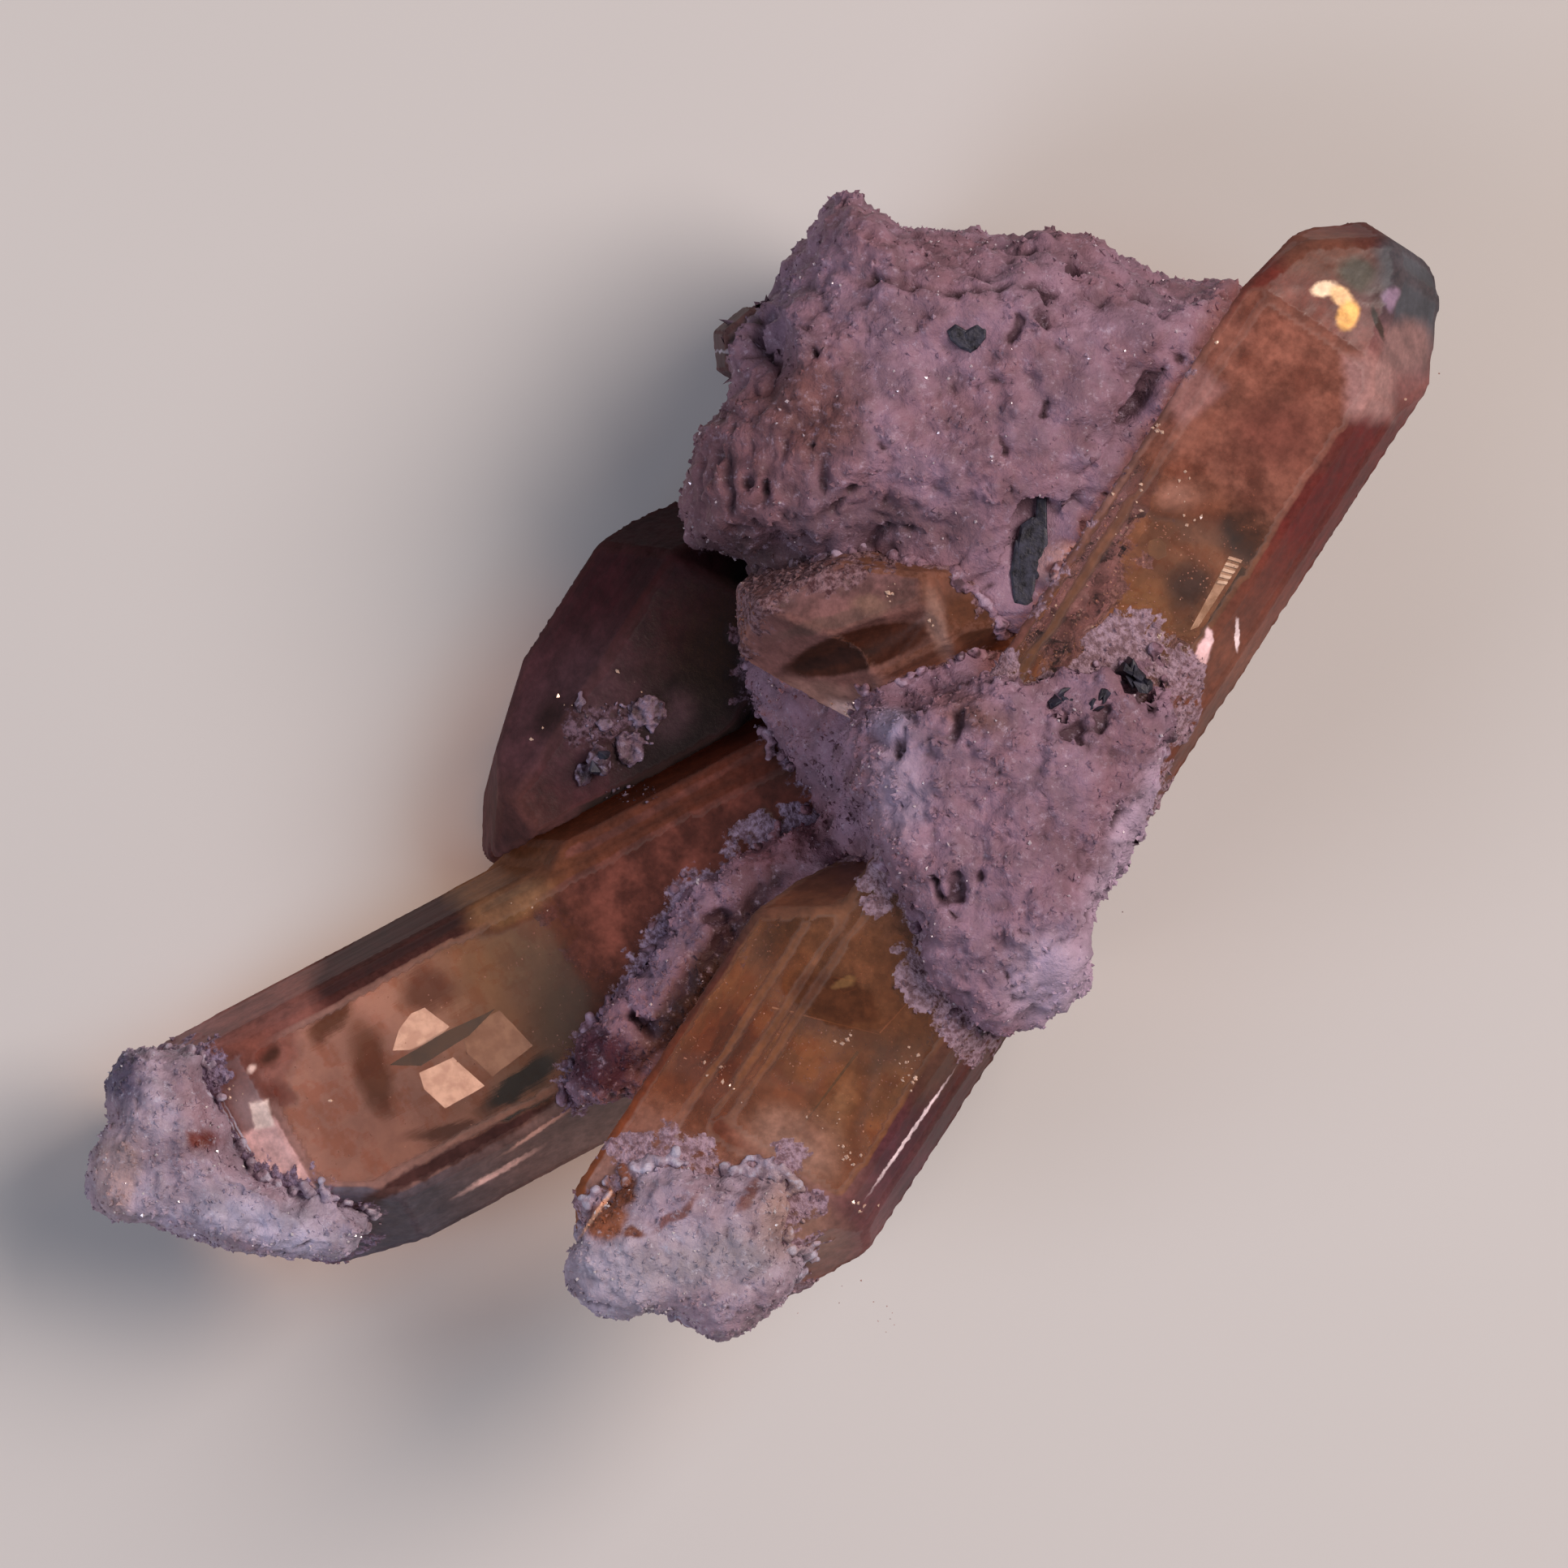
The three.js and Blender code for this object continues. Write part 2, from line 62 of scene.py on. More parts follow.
TOPAZ_IOR = 1.62
TOPAZ_TINT = (0.90, 0.78, 0.66)  # of the lamps' light, what a topaz face lets in
LIT = (0.86, 0.73, 0.64)  # what the lamps bring back from a white surface
GLARE = 0.022  # what a polished flat face mirrors of the studio
SIDE_GLARE = 0.075  # and what a steep one mirrors of the floor
THROUGH = 0.85  # share of the light that a crystal's two faces pass
DARKEST = 0.004  # finish of the darkest zones
PALING = 14.0  # how fast a face takes on the clear topaz's own pale tint as its haze thins out
GLARE_SHINE = 0.5  # the specular level that the two glares are for
PALEST = 0.92  # finish of the palest zones on the far faces
CRYSTAL_NODES = (
    "topaz_long_crystal",
    "topaz_left_crystal",
    "topaz_back_crystal",
    "topaz_short_crystal",
    "topaz_edge_crystal",
)


class Axes:
    """A crystal's own frame: x across it, y along it and z out of its broad face."""

    def __init__(self, middle, heading, raised=0.0):
        self.middle = Vector(middle)
        self.turn = Euler((math.radians(raised), 0, math.radians(heading - 90)))
        self.matrix = Matrix.Translation(self.middle) @ self.turn.to_matrix().to_4x4()
        self.back = np.array(self.matrix.inverted().to_3x3()).T

    def world(self, point):
        return self.matrix @ Vector(point)

    def own(self, points):
        """Points of the specimen in the crystal's frame."""
        return (points - np.array(self.middle)) @ self.back


LONG = Axes((8.41, -0.71, 10.8), 57, 1.6)
LEFT = Axes((-8.4, -8.15, 4.3), 28, -1)
BACK = Axes((-4.1, 1.2, 3.9), 57, 2)
SHORT = Axes((3.3, 3.9, 10.5), 111)
EDGE = Axes((-0.1, 12.75, 8.6), 105)


# ---------------------------------------------------------------- meshes
def object_of(name, mesh):
    made = bpy.data.objects.new(name, mesh)
    bpy.context.scene.collection.objects.link(made)
    return made


def mesh_of(name, points, faces):
    """An object from points in millimetres and its faces."""
    mesh = bpy.data.meshes.new(name)
    mesh.from_pydata([tuple(c * MM for c in p) for p in points], [], faces)
    mesh.validate()
    mesh.update()
    return object_of(name, mesh)


def joined(pieces):
    """The points and faces of several pieces, as those of one mesh."""
    points, faces = [], []
    for own, sides in pieces:
        start = len(points)
        points += list(own)
        faces += [tuple(start + i for i in side) for side in sides]
    return points, faces


def taken(shape):
    """The points and faces of a bmesh, which is freed."""
    shape.verts.index_update()
    points = [v.co.copy() for v in shape.verts]
    faces = [tuple(v.index for v in f.verts) for f in shape.faces]
    shape.free()
    return points, faces


def copy_of(node, name):
    made = object_of(name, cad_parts[node].data.copy())
    made.data.materials.clear()
    shape = bmesh.new()
    shape.from_mesh(made.data)
    bmesh.ops.remove_doubles(shape, verts=shape.verts, dist=1e-6)
    shape.to_mesh(made.data)
    shape.free()
    return made


def applied(made):
    """Puts the object's modifiers into its mesh."""
    graph = bpy.context.evaluated_depsgraph_get()
    mesh = bpy.data.meshes.new_from_object(made.evaluated_get(graph))
    made.modifiers.clear()
    made.data = mesh
    return made


def thinned(made, triangles):
    """Fewer triangles, where the shape needs them least."""
    now = sum(len(p.vertices) - 2 for p in made.data.polygons)
    if now > triangles:
        fewer = made.modifiers.new("Fewer", "DECIMATE")
        fewer.ratio = triangles / now
        applied(made)
    return made


def remeshed(made, fine):
    voxels = made.modifiers.new("Voxels", "REMESH")
    voxels.mode = "VOXEL"
    voxels.voxel_size = fine * MM
    return applied(made)


def points_of(mesh):
    points = np.empty(len(mesh.vertices) * 3, np.float32)
    mesh.vertices.foreach_get("co", points)
    return points.reshape(-1, 3).astype(float) * TO_MM


def normals_of(mesh):
    mesh.update()
    return np.array([tuple(v.normal) for v in mesh.vertices])


def move_points(mesh, points):
    mesh.vertices.foreach_set("co", (points * MM).astype(np.float32).ravel())
    mesh.update()


def keep_values(mesh, name, values):
    """Keeps one number for each vertex, which a material can read by name."""
    kept = mesh.attributes.new(name, "FLOAT", "POINT")
    kept.data.foreach_set("value", np.asarray(values, np.float32))


def evened(mesh, values, times):
    """Blends each vertex's value with its neighbours'."""
    ends = np.empty(len(mesh.edges) * 2, np.int64)
    mesh.edges.foreach_get("vertices", ends)
    a, b = ends.reshape(-1, 2).T
    count = 1 + np.bincount(a, minlength=len(values)) + np.bincount(b, minlength=len(values))
    for _ in range(times):
        total = np.bincount(a, values[b], len(values)) + np.bincount(b, values[a], len(values))
        values = (values + total) / count
    return values


def smooth(made):
    made.data.shade_smooth()
    return made


def corners_of(mesh):
    return [v.co * TO_MM for v in mesh.vertices]


def sides_of(mesh):
    return [tuple(p.vertices) for p in mesh.polygons]


def tree_of(*nodes):
    meshes = [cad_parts[node].data for node in nodes]
    return BVHTree.FromPolygons(*joined([(corners_of(mesh), sides_of(mesh)) for mesh in meshes]))


def tree_around(made):
    return BVHTree.FromPolygons(corners_of(made.data), sides_of(made.data))


def step(value, low, high):
    """0 below low and 1 above high, with a smooth rise between them."""
    t = np.clip((np.asarray(value, float) - low) / (high - low), 0, 1)
    return t * t * (3 - 2 * t)


def waves(points, wide, octaves=1, offset=0.0):
    """Smooth noise, about -1 to 1, whose bumps are `wide` millimetres across."""
    shift = Vector((offset, offset * 1.7, -offset))
    return np.array(
        [noise.fractal(Vector(p) / wide + shift, 1.0, 2.0, octaves) for p in points]
    )


def cells(points, wide, offset=0.0):
    """Distance to the middle of the nearest cell, in cells."""
    shift = Vector((offset, -offset, offset * 1.3))
    return np.array([noise.voronoi(Vector(p) / wide + shift)[0][0] for p in points])


# ---------------------------------------------------------------- materials
class Graph:
    """A material's nodes. Each call adds a node and gives its output."""

    def __init__(self, name, axes=None):
        self.material = bpy.data.materials.new(name)
        self.material.use_nodes = True
        self.tree = self.material.node_tree
        self.tree.nodes.clear()
        place = self.node("ShaderNodeTexCoord").outputs["Object"]
        self.at = self.vector("SCALE", place, scale=TO_MM)
        if axes is not None:
            inputs = {"Vector": self.at, "Location": axes.middle, "Rotation": axes.turn}
            self.at = self.node("ShaderNodeMapping", inputs, vector_type="TEXTURE").outputs[0]

    def node(self, kind, inputs=None, **settings):
        """A node with its settings, and its inputs by name or number. None leaves one as it is."""
        made = self.tree.nodes.new(kind)
        for name, value in settings.items():
            setattr(made, name, value)
        for name, value in (inputs or {}).items():
            if isinstance(value, bpy.types.NodeSocket):
                self.tree.links.new(value, made.inputs[name])
            elif value is not None:
                if made.inputs[name].type == "RGBA" and len(value) == 3:
                    value = (*value, 1)
                made.inputs[name].default_value = value
        return made

    def vector(self, operation, a, b=None, scale=None):
        inputs = {0: a, 1: b, "Scale": scale}
        made = self.node("ShaderNodeVectorMath", inputs, operation=operation)
        return made.outputs["Value" if operation == "LENGTH" else "Vector"]

    def maths(self, operation, a, b=None, clamp=False):
        made = self.node("ShaderNodeMath", {0: a, 1: b}, operation=operation, use_clamp=clamp)
        return made.outputs[0]

    def between(self, value, low, high, to_low=0.0, to_high=1.0):
        """`to_low` where the value is at low and `to_high` where it is at high, smooth between."""
        inputs = {
            "Value": value, "From Min": low, "From Max": high, "To Min": to_low, "To Max": to_high,
        }
        made = self.node("ShaderNodeMapRange", inputs, interpolation_type="SMOOTHSTEP")
        return made.outputs["Result"]

    def noise(self, wide, detail=4.0, rough=0.55, stretch=None, output="Fac"):
        """Noise of 0 to 1, whose spots are about `wide` millimetres across."""
        where = self.at if stretch is None else self.vector("MULTIPLY", self.at, stretch)
        inputs = {"Vector": where, "Scale": 1 / wide, "Detail": detail, "Roughness": rough}
        return self.node("ShaderNodeTexNoise", inputs).outputs[output]

    def warped(self, amount, wide):
        """The place, moved about by up to `amount` millimetres."""
        push = self.vector("SUBTRACT", self.noise(wide, 3.0, 0.5, output="Color"), (0.5, 0.5, 0.5))
        return self.vector("ADD", self.at, self.vector("SCALE", push, scale=2 * amount))

    def spot(self, place, at, size, turn, soft, boxy):
        """Seen from above, 1 inside an ellipse or a box and 0 outside it, with a soft edge."""
        away = self.vector("SUBTRACT", place, (*at, 0))
        if turn:
            inputs = {"Vector": away, "Angle": -math.radians(turn)}
            away = self.node("ShaderNodeVectorRotate", inputs, rotation_type="Z_AXIS").outputs[0]
        away = self.vector("MULTIPLY", away, (1 / size[0], 1 / size[1], 0))
        if boxy:
            away = self.vector("ABSOLUTE", away)
            far = self.maths("MAXIMUM", self.part(away, 0), self.part(away, 1))
        else:
            far = self.vector("LENGTH", away)
        return self.between(far, 1 - soft, 1 + soft, 1.0, 0.0)

    def painted(self, place, spots, colour, amount=None):
        """Patches laid over a colour, and over an amount if they have one."""
        crisp = self.warped(0.07, 0.2) if any(spot["crisp"] for spot in spots) else place
        for spot in spots:
            where = crisp if spot["crisp"] else place
            shape = [spot[key] for key in ("at", "size", "turn", "soft", "boxy")]
            inside = self.spot(where, *shape)
            share = self.maths("MULTIPLY", inside, spot["share"])
            colour = self.mix(share, colour, spot["colour"])
            if amount is not None:
                amount = self.mix(inside, amount, (spot["amount"],) * 3)
        return colour, amount

    def along(self, where, stops):
        """A colour and an amount from (place, colour, amount) stops."""
        first, last = stops[0][0], stops[-1][0]
        run = self.maths("DIVIDE", self.maths("SUBTRACT", where, first), last - first)
        places = [(stop[0] - first) / (last - first) for stop in stops]
        colour = self.ramp(run, *[(place, stop[1]) for place, stop in zip(places, stops)])
        amount = self.ramp(run, *[(place, stop[2]) for place, stop in zip(places, stops)])
        return colour, amount

    def part(self, vector, axis):
        return self.node("ShaderNodeSeparateXYZ", {0: vector}).outputs[axis]

    def ramp(self, value, *stops):
        """Colours, or numbers, at places from 0 to 1."""
        made = self.node("ShaderNodeValToRGB", {0: value})
        line = made.color_ramp
        while len(line.elements) < len(stops):
            line.elements.new(0.5)
        for element, (place, colour) in zip(line.elements, stops):
            element.position = place
            element.color = (*colour, 1) if isinstance(colour, tuple) else (colour,) * 3 + (1,)
        return made.outputs["Color"]

    def mix(self, share, a, b, blend="MIX"):
        inputs = {0: share, 6: a, 7: b}
        return self.node("ShaderNodeMix", inputs, data_type="RGBA", blend_type=blend).outputs[2]

    def kept(self, name):
        return self.node("ShaderNodeAttribute", attribute_name=name).outputs["Fac"]

    def bump(self, height, depth, strength=1.0, under=None):
        inputs = {"Height": height, "Distance": depth * MM, "Strength": strength, "Normal": under}
        return self.node("ShaderNodeBump", inputs).outputs["Normal"]

    def finish(self, shader, volume=None):
        self.node("ShaderNodeOutputMaterial", {"Surface": shader, "Volume": volume})
        return self.material

    def principled(self, **inputs):
        inputs = {name.replace("_", " "): value for name, value in inputs.items()}
        return self.node("ShaderNodeBsdfPrincipled", inputs).outputs[0]


def linear(red, green, blue):
    """A colour given as screen values of 0 to 255."""
    def channel(value):
        share = value / 255
        return share / 12.92 if share <= 0.04045 else ((share + 0.055) / 1.055) ** 2.4
    return (channel(red), channel(green), channel(blue))


def seen(red, green, blue):
    """The finish of a surface that has these screen values under the lamps."""
    return tuple(min(0.95, c / l) for c, l in zip(linear(red, green, blue), LIT))


def blend(a, b, share):
    return tuple(x + (y - x) * share for x, y in zip(a, b))


def patch(at, size, screen, amount=1.0, turn=0.0, soft=0.35, share=1.0, boxy=False, crisp=False):
    """A patch of colour. The noise that makes its edge ragged is weak for a crisp one."""
    return {
        "at": at, "size": size, "colour": seen(*screen), "amount": amount, "turn": turn,
        "soft": soft, "share": share, "boxy": boxy, "crisp": crisp,
    }


def glint(at, size, screen, turn=0.0, soft=0.3, boxy=False):
    """A bright crisp spot where a face flashes."""
    return patch(at, size, screen, 0.95, turn, soft, boxy=boxy, crisp=True)


def topaz(
    name, axes, thick, skin, deep, bevels, mottled=(0.66, 1.3), absorb=(0.9, 0.74, 0.6), density=100.0,
    frost=0.0, wear_and_sheen=0.1, sugar=None, shine=0.35,
):
    """See-through topaz. `skin` is the haze on its upper faces, and `deep` what is seen through
    `thick` millimetres of it on its far faces. Each is (stops along the crystal, patches).
    `bevels` holds the stops of its left and right sloping faces, and `sugar` the dark and light
    tones of the crust that thins out over it."""
    glare = GLARE * shine / GLARE_SHINE
    side_glare = SIDE_GLARE * shine / GLARE_SHINE
    g = Graph(name, axes)
    place = g.warped(0.25, 0.7)
    drift = g.maths("MULTIPLY", g.maths("SUBTRACT", g.noise(2.4, 3, 0.5), 0.5), 1.8)
    along = g.maths("ADD", g.part(g.at, 1), drift)
    right = g.between(g.part(g.at, 0), -0.4, 0.4)
    up = g.kept("up")
    clouds = g.noise(1.4, 4, 0.66)
    veins = g.noise(0.6, 3, 0.65)
    fine = g.noise(0.2, 3, 0.65)
    threads = g.noise(0.26, 3, 0.6, stretch=(1, 0.05, 1))

    path = 2 * thick * MM * density
    lost = [t * math.exp(-path * (1 - a)) * THROUGH for t, a in zip(TOPAZ_TINT, absorb)]

    def behind(colour):
        return tuple(min(PALEST, max(DARKEST, c - glare) / l) for c, l in zip(colour, lost))

    stops, patches = deep
    stops = [(v, behind(seen(*screen)), amount) for v, screen, amount in stops]
    deep_colour, cloud = g.along(along, stops)
    patches = [{**p, "colour": behind(p["colour"])} for p in patches]
    deep_colour, cloud = g.painted(place, patches, deep_colour, cloud)
    deep_colour = g.vector("SCALE", deep_colour, scale=g.between(clouds, 0.34, 0.66, *mottled))
    redder = g.mix(1.0, deep_colour, (0.92, 0.74, 0.64), "MULTIPLY")
    deep_colour = g.mix(g.between(veins, 0.46, 0.64), deep_colour, redder)

    def unglazed(stops, mirrored):
        return [
            (v, tuple(max(DARKEST, c - mirrored) for c in seen(*screen)), amount)
            for v, screen, amount in stops
        ]

    stops, patches = skin
    skin_colour, haze = g.along(along, unglazed(stops, glare))
    haze = g.maths("MULTIPLY", haze, g.between(clouds, 0.34, 0.7, 0.7, 1.3))
    left_colour, left_haze = g.along(along, unglazed(bevels[0], side_glare))
    right_colour, right_haze = g.along(along, unglazed(bevels[1], side_glare))
    slope = g.between(up, 0.95, 0.86)
    ridged = g.between(threads, 0.36, 0.64, 0.9, 1.06)
    skin_colour = g.mix(slope, skin_colour, g.mix(right, left_colour, right_colour))
    haze = g.mix(slope, haze, g.maths("MULTIPLY", g.mix(right, left_haze, right_haze), ridged))
    skin_colour, haze = g.painted(place, patches, skin_colour, haze)
    tone = g.between(clouds, 0.34, 0.66, 0.78, 1.24)
    tone = g.maths("MULTIPLY", tone, g.between(fine, 0.3, 0.7, 0.88, 1.12))
    tone = g.maths("MULTIPLY", tone, g.between(veins, 0.34, 0.66, 0.86, 1.16))
    skin_colour = g.vector("SCALE", skin_colour, scale=tone)
    haze = g.maths("ADD", haze, g.between(fine, 0.64, 0.82, 0.0, 0.05), clamp=True)
    # The edges are paler and hazier: partly real wear, partly a painted highlight along them
    edge_wear_and_highlight = g.maths("MULTIPLY", g.kept("edge"), g.between(fine, 0.35, 0.6, 0.05, wear_and_sheen))
    skin_colour = g.mix(edge_wear_and_highlight, skin_colour, seen(146, 98, 84))
    haze = g.maths("MAXIMUM", haze, g.maths("MULTIPLY", g.kept("edge"), 0.5))

    below = g.between(up, -0.12, -0.34)
    colour = g.mix(below, skin_colour, deep_colour)
    dense = g.maths("MAXIMUM", g.mix(below, haze, cloud), 0.0, clamp=True)
    normal = g.bump(threads, 0.02, 0.3)
    normal = g.bump(g.noise(1.6, 2, 0.5), 0.06, 0.3, under=normal)
    normal = g.bump(fine, 0.02, 0.1 + frost, under=normal)
    matt = g.maths("MAXIMUM", g.maths("MULTIPLY", slope, 0.36), g.maths("MULTIPLY", g.kept("edge"), 0.85))
    if sugar is not None:
        ragged = g.between(g.noise(0.3, 4, 0.7), 0.3, 0.7, -0.45, 0.45)
        crust = g.between(g.maths("ADD", g.kept("sugar"), ragged), -0.1, 0.35)
        normal = g.bump(g.noise(0.16, 2, 0.7), 0.08, crust, under=normal)
        colour = g.mix(crust, colour, g.mix(g.between(fine, 0.36, 0.64), *sugar))
        dense = g.maths("MAXIMUM", dense, crust)
        matt = g.maths("MAXIMUM", matt, g.maths("MULTIPLY", crust, 0.5))
    clear = g.maths("SUBTRACT", 1.0, dense, clamp=True)
    rough = g.between(dense, 0.0, 1.0, 0.02 + frost * 0.2, 0.2 + frost * 0.4)
    surface = g.principled(
        Base_Color=g.mix(g.maths("POWER", clear, PALING), colour, linear(252, 246, 240)),
        Transmission_Weight=clear,
        Roughness=g.maths("ADD", rough, matt, clamp=True),
        IOR=TOPAZ_IOR,
        Specular_IOR_Level=shine,
        Normal=normal,
    )
    through = g.node("ShaderNodeBsdfTransparent", {0: TOPAZ_TINT}).outputs[0]
    shadow = g.node("ShaderNodeLightPath").outputs["Is Shadow Ray"]
    both = g.node("ShaderNodeMixShader", {0: shadow, 1: surface, 2: through}).outputs[0]
    inside = g.node("ShaderNodeVolumeAbsorption", {"Color": absorb, "Density": density})
    return g.finish(both, inside.outputs[0])


def rhyolite(name, body, speck_and_pit_shade, crest, rusty, shine=0.75, patches=()):
    """Sugary volcanic rock. The colour after `body` marks dark specks and paints shade into its low spots,
    such as pits and cracks, and `crest` is its colour on top of grains and in light specks.
    """
    g = Graph(name)
    relief = g.kept("relief")
    speck = g.noise(0.3, 4, 0.75)
    colour = g.mix(g.between(g.noise(2.6, 3, 0.6), 0.38, 0.66), body, rusty)
    colour, _ = g.painted(g.warped(0.5, 1.1), patches, colour)
    colour = g.vector("SCALE", colour, scale=g.between(g.noise(1.1, 3, 0.65), 0.34, 0.66, 0.8, 1.22))
    # Painted shade: low spots, such as pits and cracks, get darker the deeper they lie
    colour = g.mix(g.between(relief, -0.1, -1.1, 0, 0.85), colour, speck_and_pit_shade)
    colour = g.mix(g.between(relief, 0.2, 1.0, 0, 0.5), colour, crest)
    colour = g.mix(g.between(speck, 0.54, 0.74, 0, 0.5), colour, crest)
    colour = g.mix(g.between(speck, 0.4, 0.22, 0, 0.5), colour, speck_and_pit_shade)
    normal = g.bump(g.noise(0.4, 2, 0.7), 0.12, 0.6)
    normal = g.bump(g.noise(0.12, 2, 0.75), 0.06, 0.8, under=normal)
    surface = g.principled(
        Base_Color=colour,
        Roughness=g.between(speck, 0.3, 0.8, shine + 0.12, shine - 0.35),
        Specular_IOR_Level=0.4,
        Normal=normal,
    )
    return g.finish(surface)


def grain_glass(name, tint):
    """Tiny bright faces that catch the light."""
    g = Graph(name)
    shade = g.noise(0.6, 2, 0.5)
    surface = g.principled(
        Base_Color=g.mix(shade, g.mix(0.4, tint, (0, 0, 0)), tint),
        Roughness=g.between(shade, 0.3, 0.7, 0.06, 0.2),
        Metallic=0.3,
    )
    return g.finish(surface)


def dark_oxide(name):
    g = Graph(name)
    shade = g.noise(0.3, 4, 0.6)
    surface = g.principled(
        Base_Color=g.ramp(shade, (0.35, linear(26, 24, 32)), (0.7, linear(58, 58, 76))),
        Metallic=0.3,
        Roughness=g.between(shade, 0.3, 0.7, 0.36, 0.6),
        Normal=g.bump(g.noise(0.1, 3, 0.6), 0.03, 0.6),
    )
    return g.finish(surface)


def inclusion(name, colour, dark, rough=0.4):
    """Sheets, plates and dust that lie inside a crystal."""
    g = Graph(name)
    shade = g.noise(0.5, 4, 0.6)
    surface = g.principled(
        Base_Color=g.mix(g.between(shade, 0.35, 0.65), seen(*dark), seen(*colour)),
        Roughness=g.between(shade, 0.3, 0.7, rough, rough + 0.2),
    )
    return g.finish(surface)


# ---------------------------------------------------------------- rock
def seat_on_crystals(points, reach=0.5, fade=0.45, sink=0.1):
    """Brings the rock down to the crystals that it clings to."""
    for i, point in enumerate(points):
        near, outward, _, far = SKIN.find_nearest(Vector(point), reach + fade)
        if near is None:
            continue
        share = 1 - float(step(far, reach, reach + fade))
        points[i] += (np.array(near - outward * sink) - point) * share
    return points


def plugged(solid, name, nodes, swollen=0.62):
    """Fills the pockets that hold the grains, up to the rock's own level."""
    pieces = [(points_of(solid.data), sides_of(solid.data))]
    for node in nodes:
        plug = copy_of(node, node + "_plug")
        own = points_of(plug.data) + normals_of(plug.data) * swollen
        own[:, 2] = np.minimum(own[:, 2], level_of(node))
        pieces.append((own, sides_of(plug.data)))
        bpy.data.objects.remove(plug)
    bpy.data.objects.remove(solid)
    return mesh_of(name, *joined(pieces))


def near_line(points, line):
    """Distance in plan from each point to a line of (x, y) points."""
    best = np.full(len(points), 1e9)
    for a, b in zip(line, line[1:]):
        a, b = np.array(a), np.array(b)
        along = b - a
        t = np.clip((points[:, :2] - a) @ along / (along @ along), 0, 1)
        away = points[:, :2] - (a + t[:, None] * along)
        best = np.minimum(best, np.hypot(away[:, 0], away[:, 1]))
    return best


def roughened(made, form, seed, cracks=(), lumps=(), drips=None):
    """Gives a rock its lumps, grains, pits and cracks, and keeps each point's relief."""
    mesh = made.data
    points = seat_on_crystals(points_of(mesh))
    move_points(mesh, points)
    normals = normals_of(mesh)
    swell = waves(points, form["swell"][0], 3, seed) * form["swell"][1]
    ragged = waves(points, form["grain"][0] * 0.6, 3, seed + 5)
    near = cells(points + ragged[:, None] * 0.05, form["grain"][0], seed)
    knob = cells(points + ragged[:, None] * 0.15, form["knob"][0], seed + 9)
    grains = (0.5 - near) * form["grain"][1] + ragged * form["grain"][1] * 0.6
    knobs = (0.5 - knob) * form["knob"][1]
    pits = waves(points, form["pit"][0], 2, seed + 20) + 0.35 * waves(points, 3.0, 1, seed + 21)
    dug = step(pits, form["pit"][2], form["pit"][2] + 0.22) * form["pit"][1]
    upward = step(normals[:, 2], 0.1, 0.5)
    for line, wide, deep in cracks:
        wander = near_line(points, line) + waves(points, 0.8, 3, seed + 41) * wide * 0.9
        dug += step(wander, wide * 1.3, -wide * 0.3) * deep * upward
    for (x, y), wide, high in lumps:
        far = np.hypot(points[:, 0] - x, points[:, 1] - y) / wide
        hill = np.sqrt(np.clip(1 - far**2, 0, 1)) * upward
        swell += hill * high
        grains *= 1 - 0.75 * hill
        knobs *= 1 - hill
        dug *= 1 - hill
    if drips is not None:
        (x, y), (wide, tall), deep = drips
        inside = step(np.hypot((points[:, 0] - x) / wide, (points[:, 1] - y) / tall), 1.2, 0.7)
        ribs = waves(points * np.array([1, 0.22, 1]), 0.42, 2, seed + 30)
        dug += step(ribs, 0.05, -0.35) * deep * inside * upward
        grains *= 1 - 0.5 * inside
    move = swell + grains + knobs - dug
    relief = (grains + knobs * 0.6 - dug) / (form["grain"][1] * 1.5)
    points = points + normals * move[:, None]
    points[:, 2] = np.maximum(points[:, 2], 0.0)
    move_points(mesh, points)
    keep_values(mesh, "relief", relief)
    return smooth(made)


def sprinkled(name, host, count, size, seed, keep=None, sunk=0.0):
    """Tiny broken crystals, joined in one mesh, sitting on the host's surface."""
    rng = np.random.default_rng(seed)
    points, normals = points_of(host.data), normals_of(host.data)
    odds = (step(normals[:, 2], -0.7, 0.1) + 1e-6) * step(points[:, 2], size, size * 2)
    if "relief" in host.data.attributes:
        odds *= step([d.value for d in host.data.attributes["relief"].data], -0.4, 0.6) + 1e-6
    if keep is not None:
        odds = odds * keep(points)
    chosen = rng.choice(len(points), min(count, np.count_nonzero(odds)), replace=False, p=odds / odds.sum())
    return chips(name, rng, [(points[i], normals[i]) for i in chosen], size, sunk)


def tumbled(rng):
    """A turn to any side."""
    return np.array(Euler(rng.uniform(0, math.tau, 3)).to_matrix())


def chips(name, rng, spots, size, sunk=0.0, power=1.5):
    """Tiny broken crystals, joined in one mesh. Each spot is a place and the way out, and a higher
    power makes more of them small."""
    corners = np.array(
        [(1, 0, 0), (-1, 0, 0), (0, 1, 0), (0, -1, 0), (0, 0, 1.3), (0, 0, -1.3)], float
    )
    sides = [(0, 2, 4), (2, 1, 4), (1, 3, 4), (3, 0, 4), (2, 0, 5), (1, 2, 5), (3, 1, 5), (0, 3, 5)]
    pieces = []
    for place, out in spots:
        turn = tumbled(rng)
        big = size * rng.uniform(0.5, 1.0) ** power * rng.uniform(0.7, 1.3, 3)
        shape = (corners * rng.uniform(0.75, 1.15, (6, 1)) * big) @ turn.T
        pieces.append((shape + place + out * big.mean() * (0.3 - sunk), sides))
    return mesh_of(name, *joined(pieces))


def sparkles(name, axes, clusters, seed, size=0.085):
    """Bright chips in clusters on a crystal: each cluster's (u, v), how many, and how far they spread."""
    rng = np.random.default_rng(seed)
    down = axes.matrix.to_3x3() @ Vector((0, 0, -1))
    spots = []
    for (u, v), count, spread in clusters:
        for du, dv in rng.normal(0, spread, (count, 2)):
            place, out, _, _ = SKIN.ray_cast(axes.world((u + du, v + dv, ABOVE)), down)
            if place is not None:
                spots.append((np.array(place), np.array(out)))
    return chips(name, rng, spots, size, sunk=0.25, power=5.0)


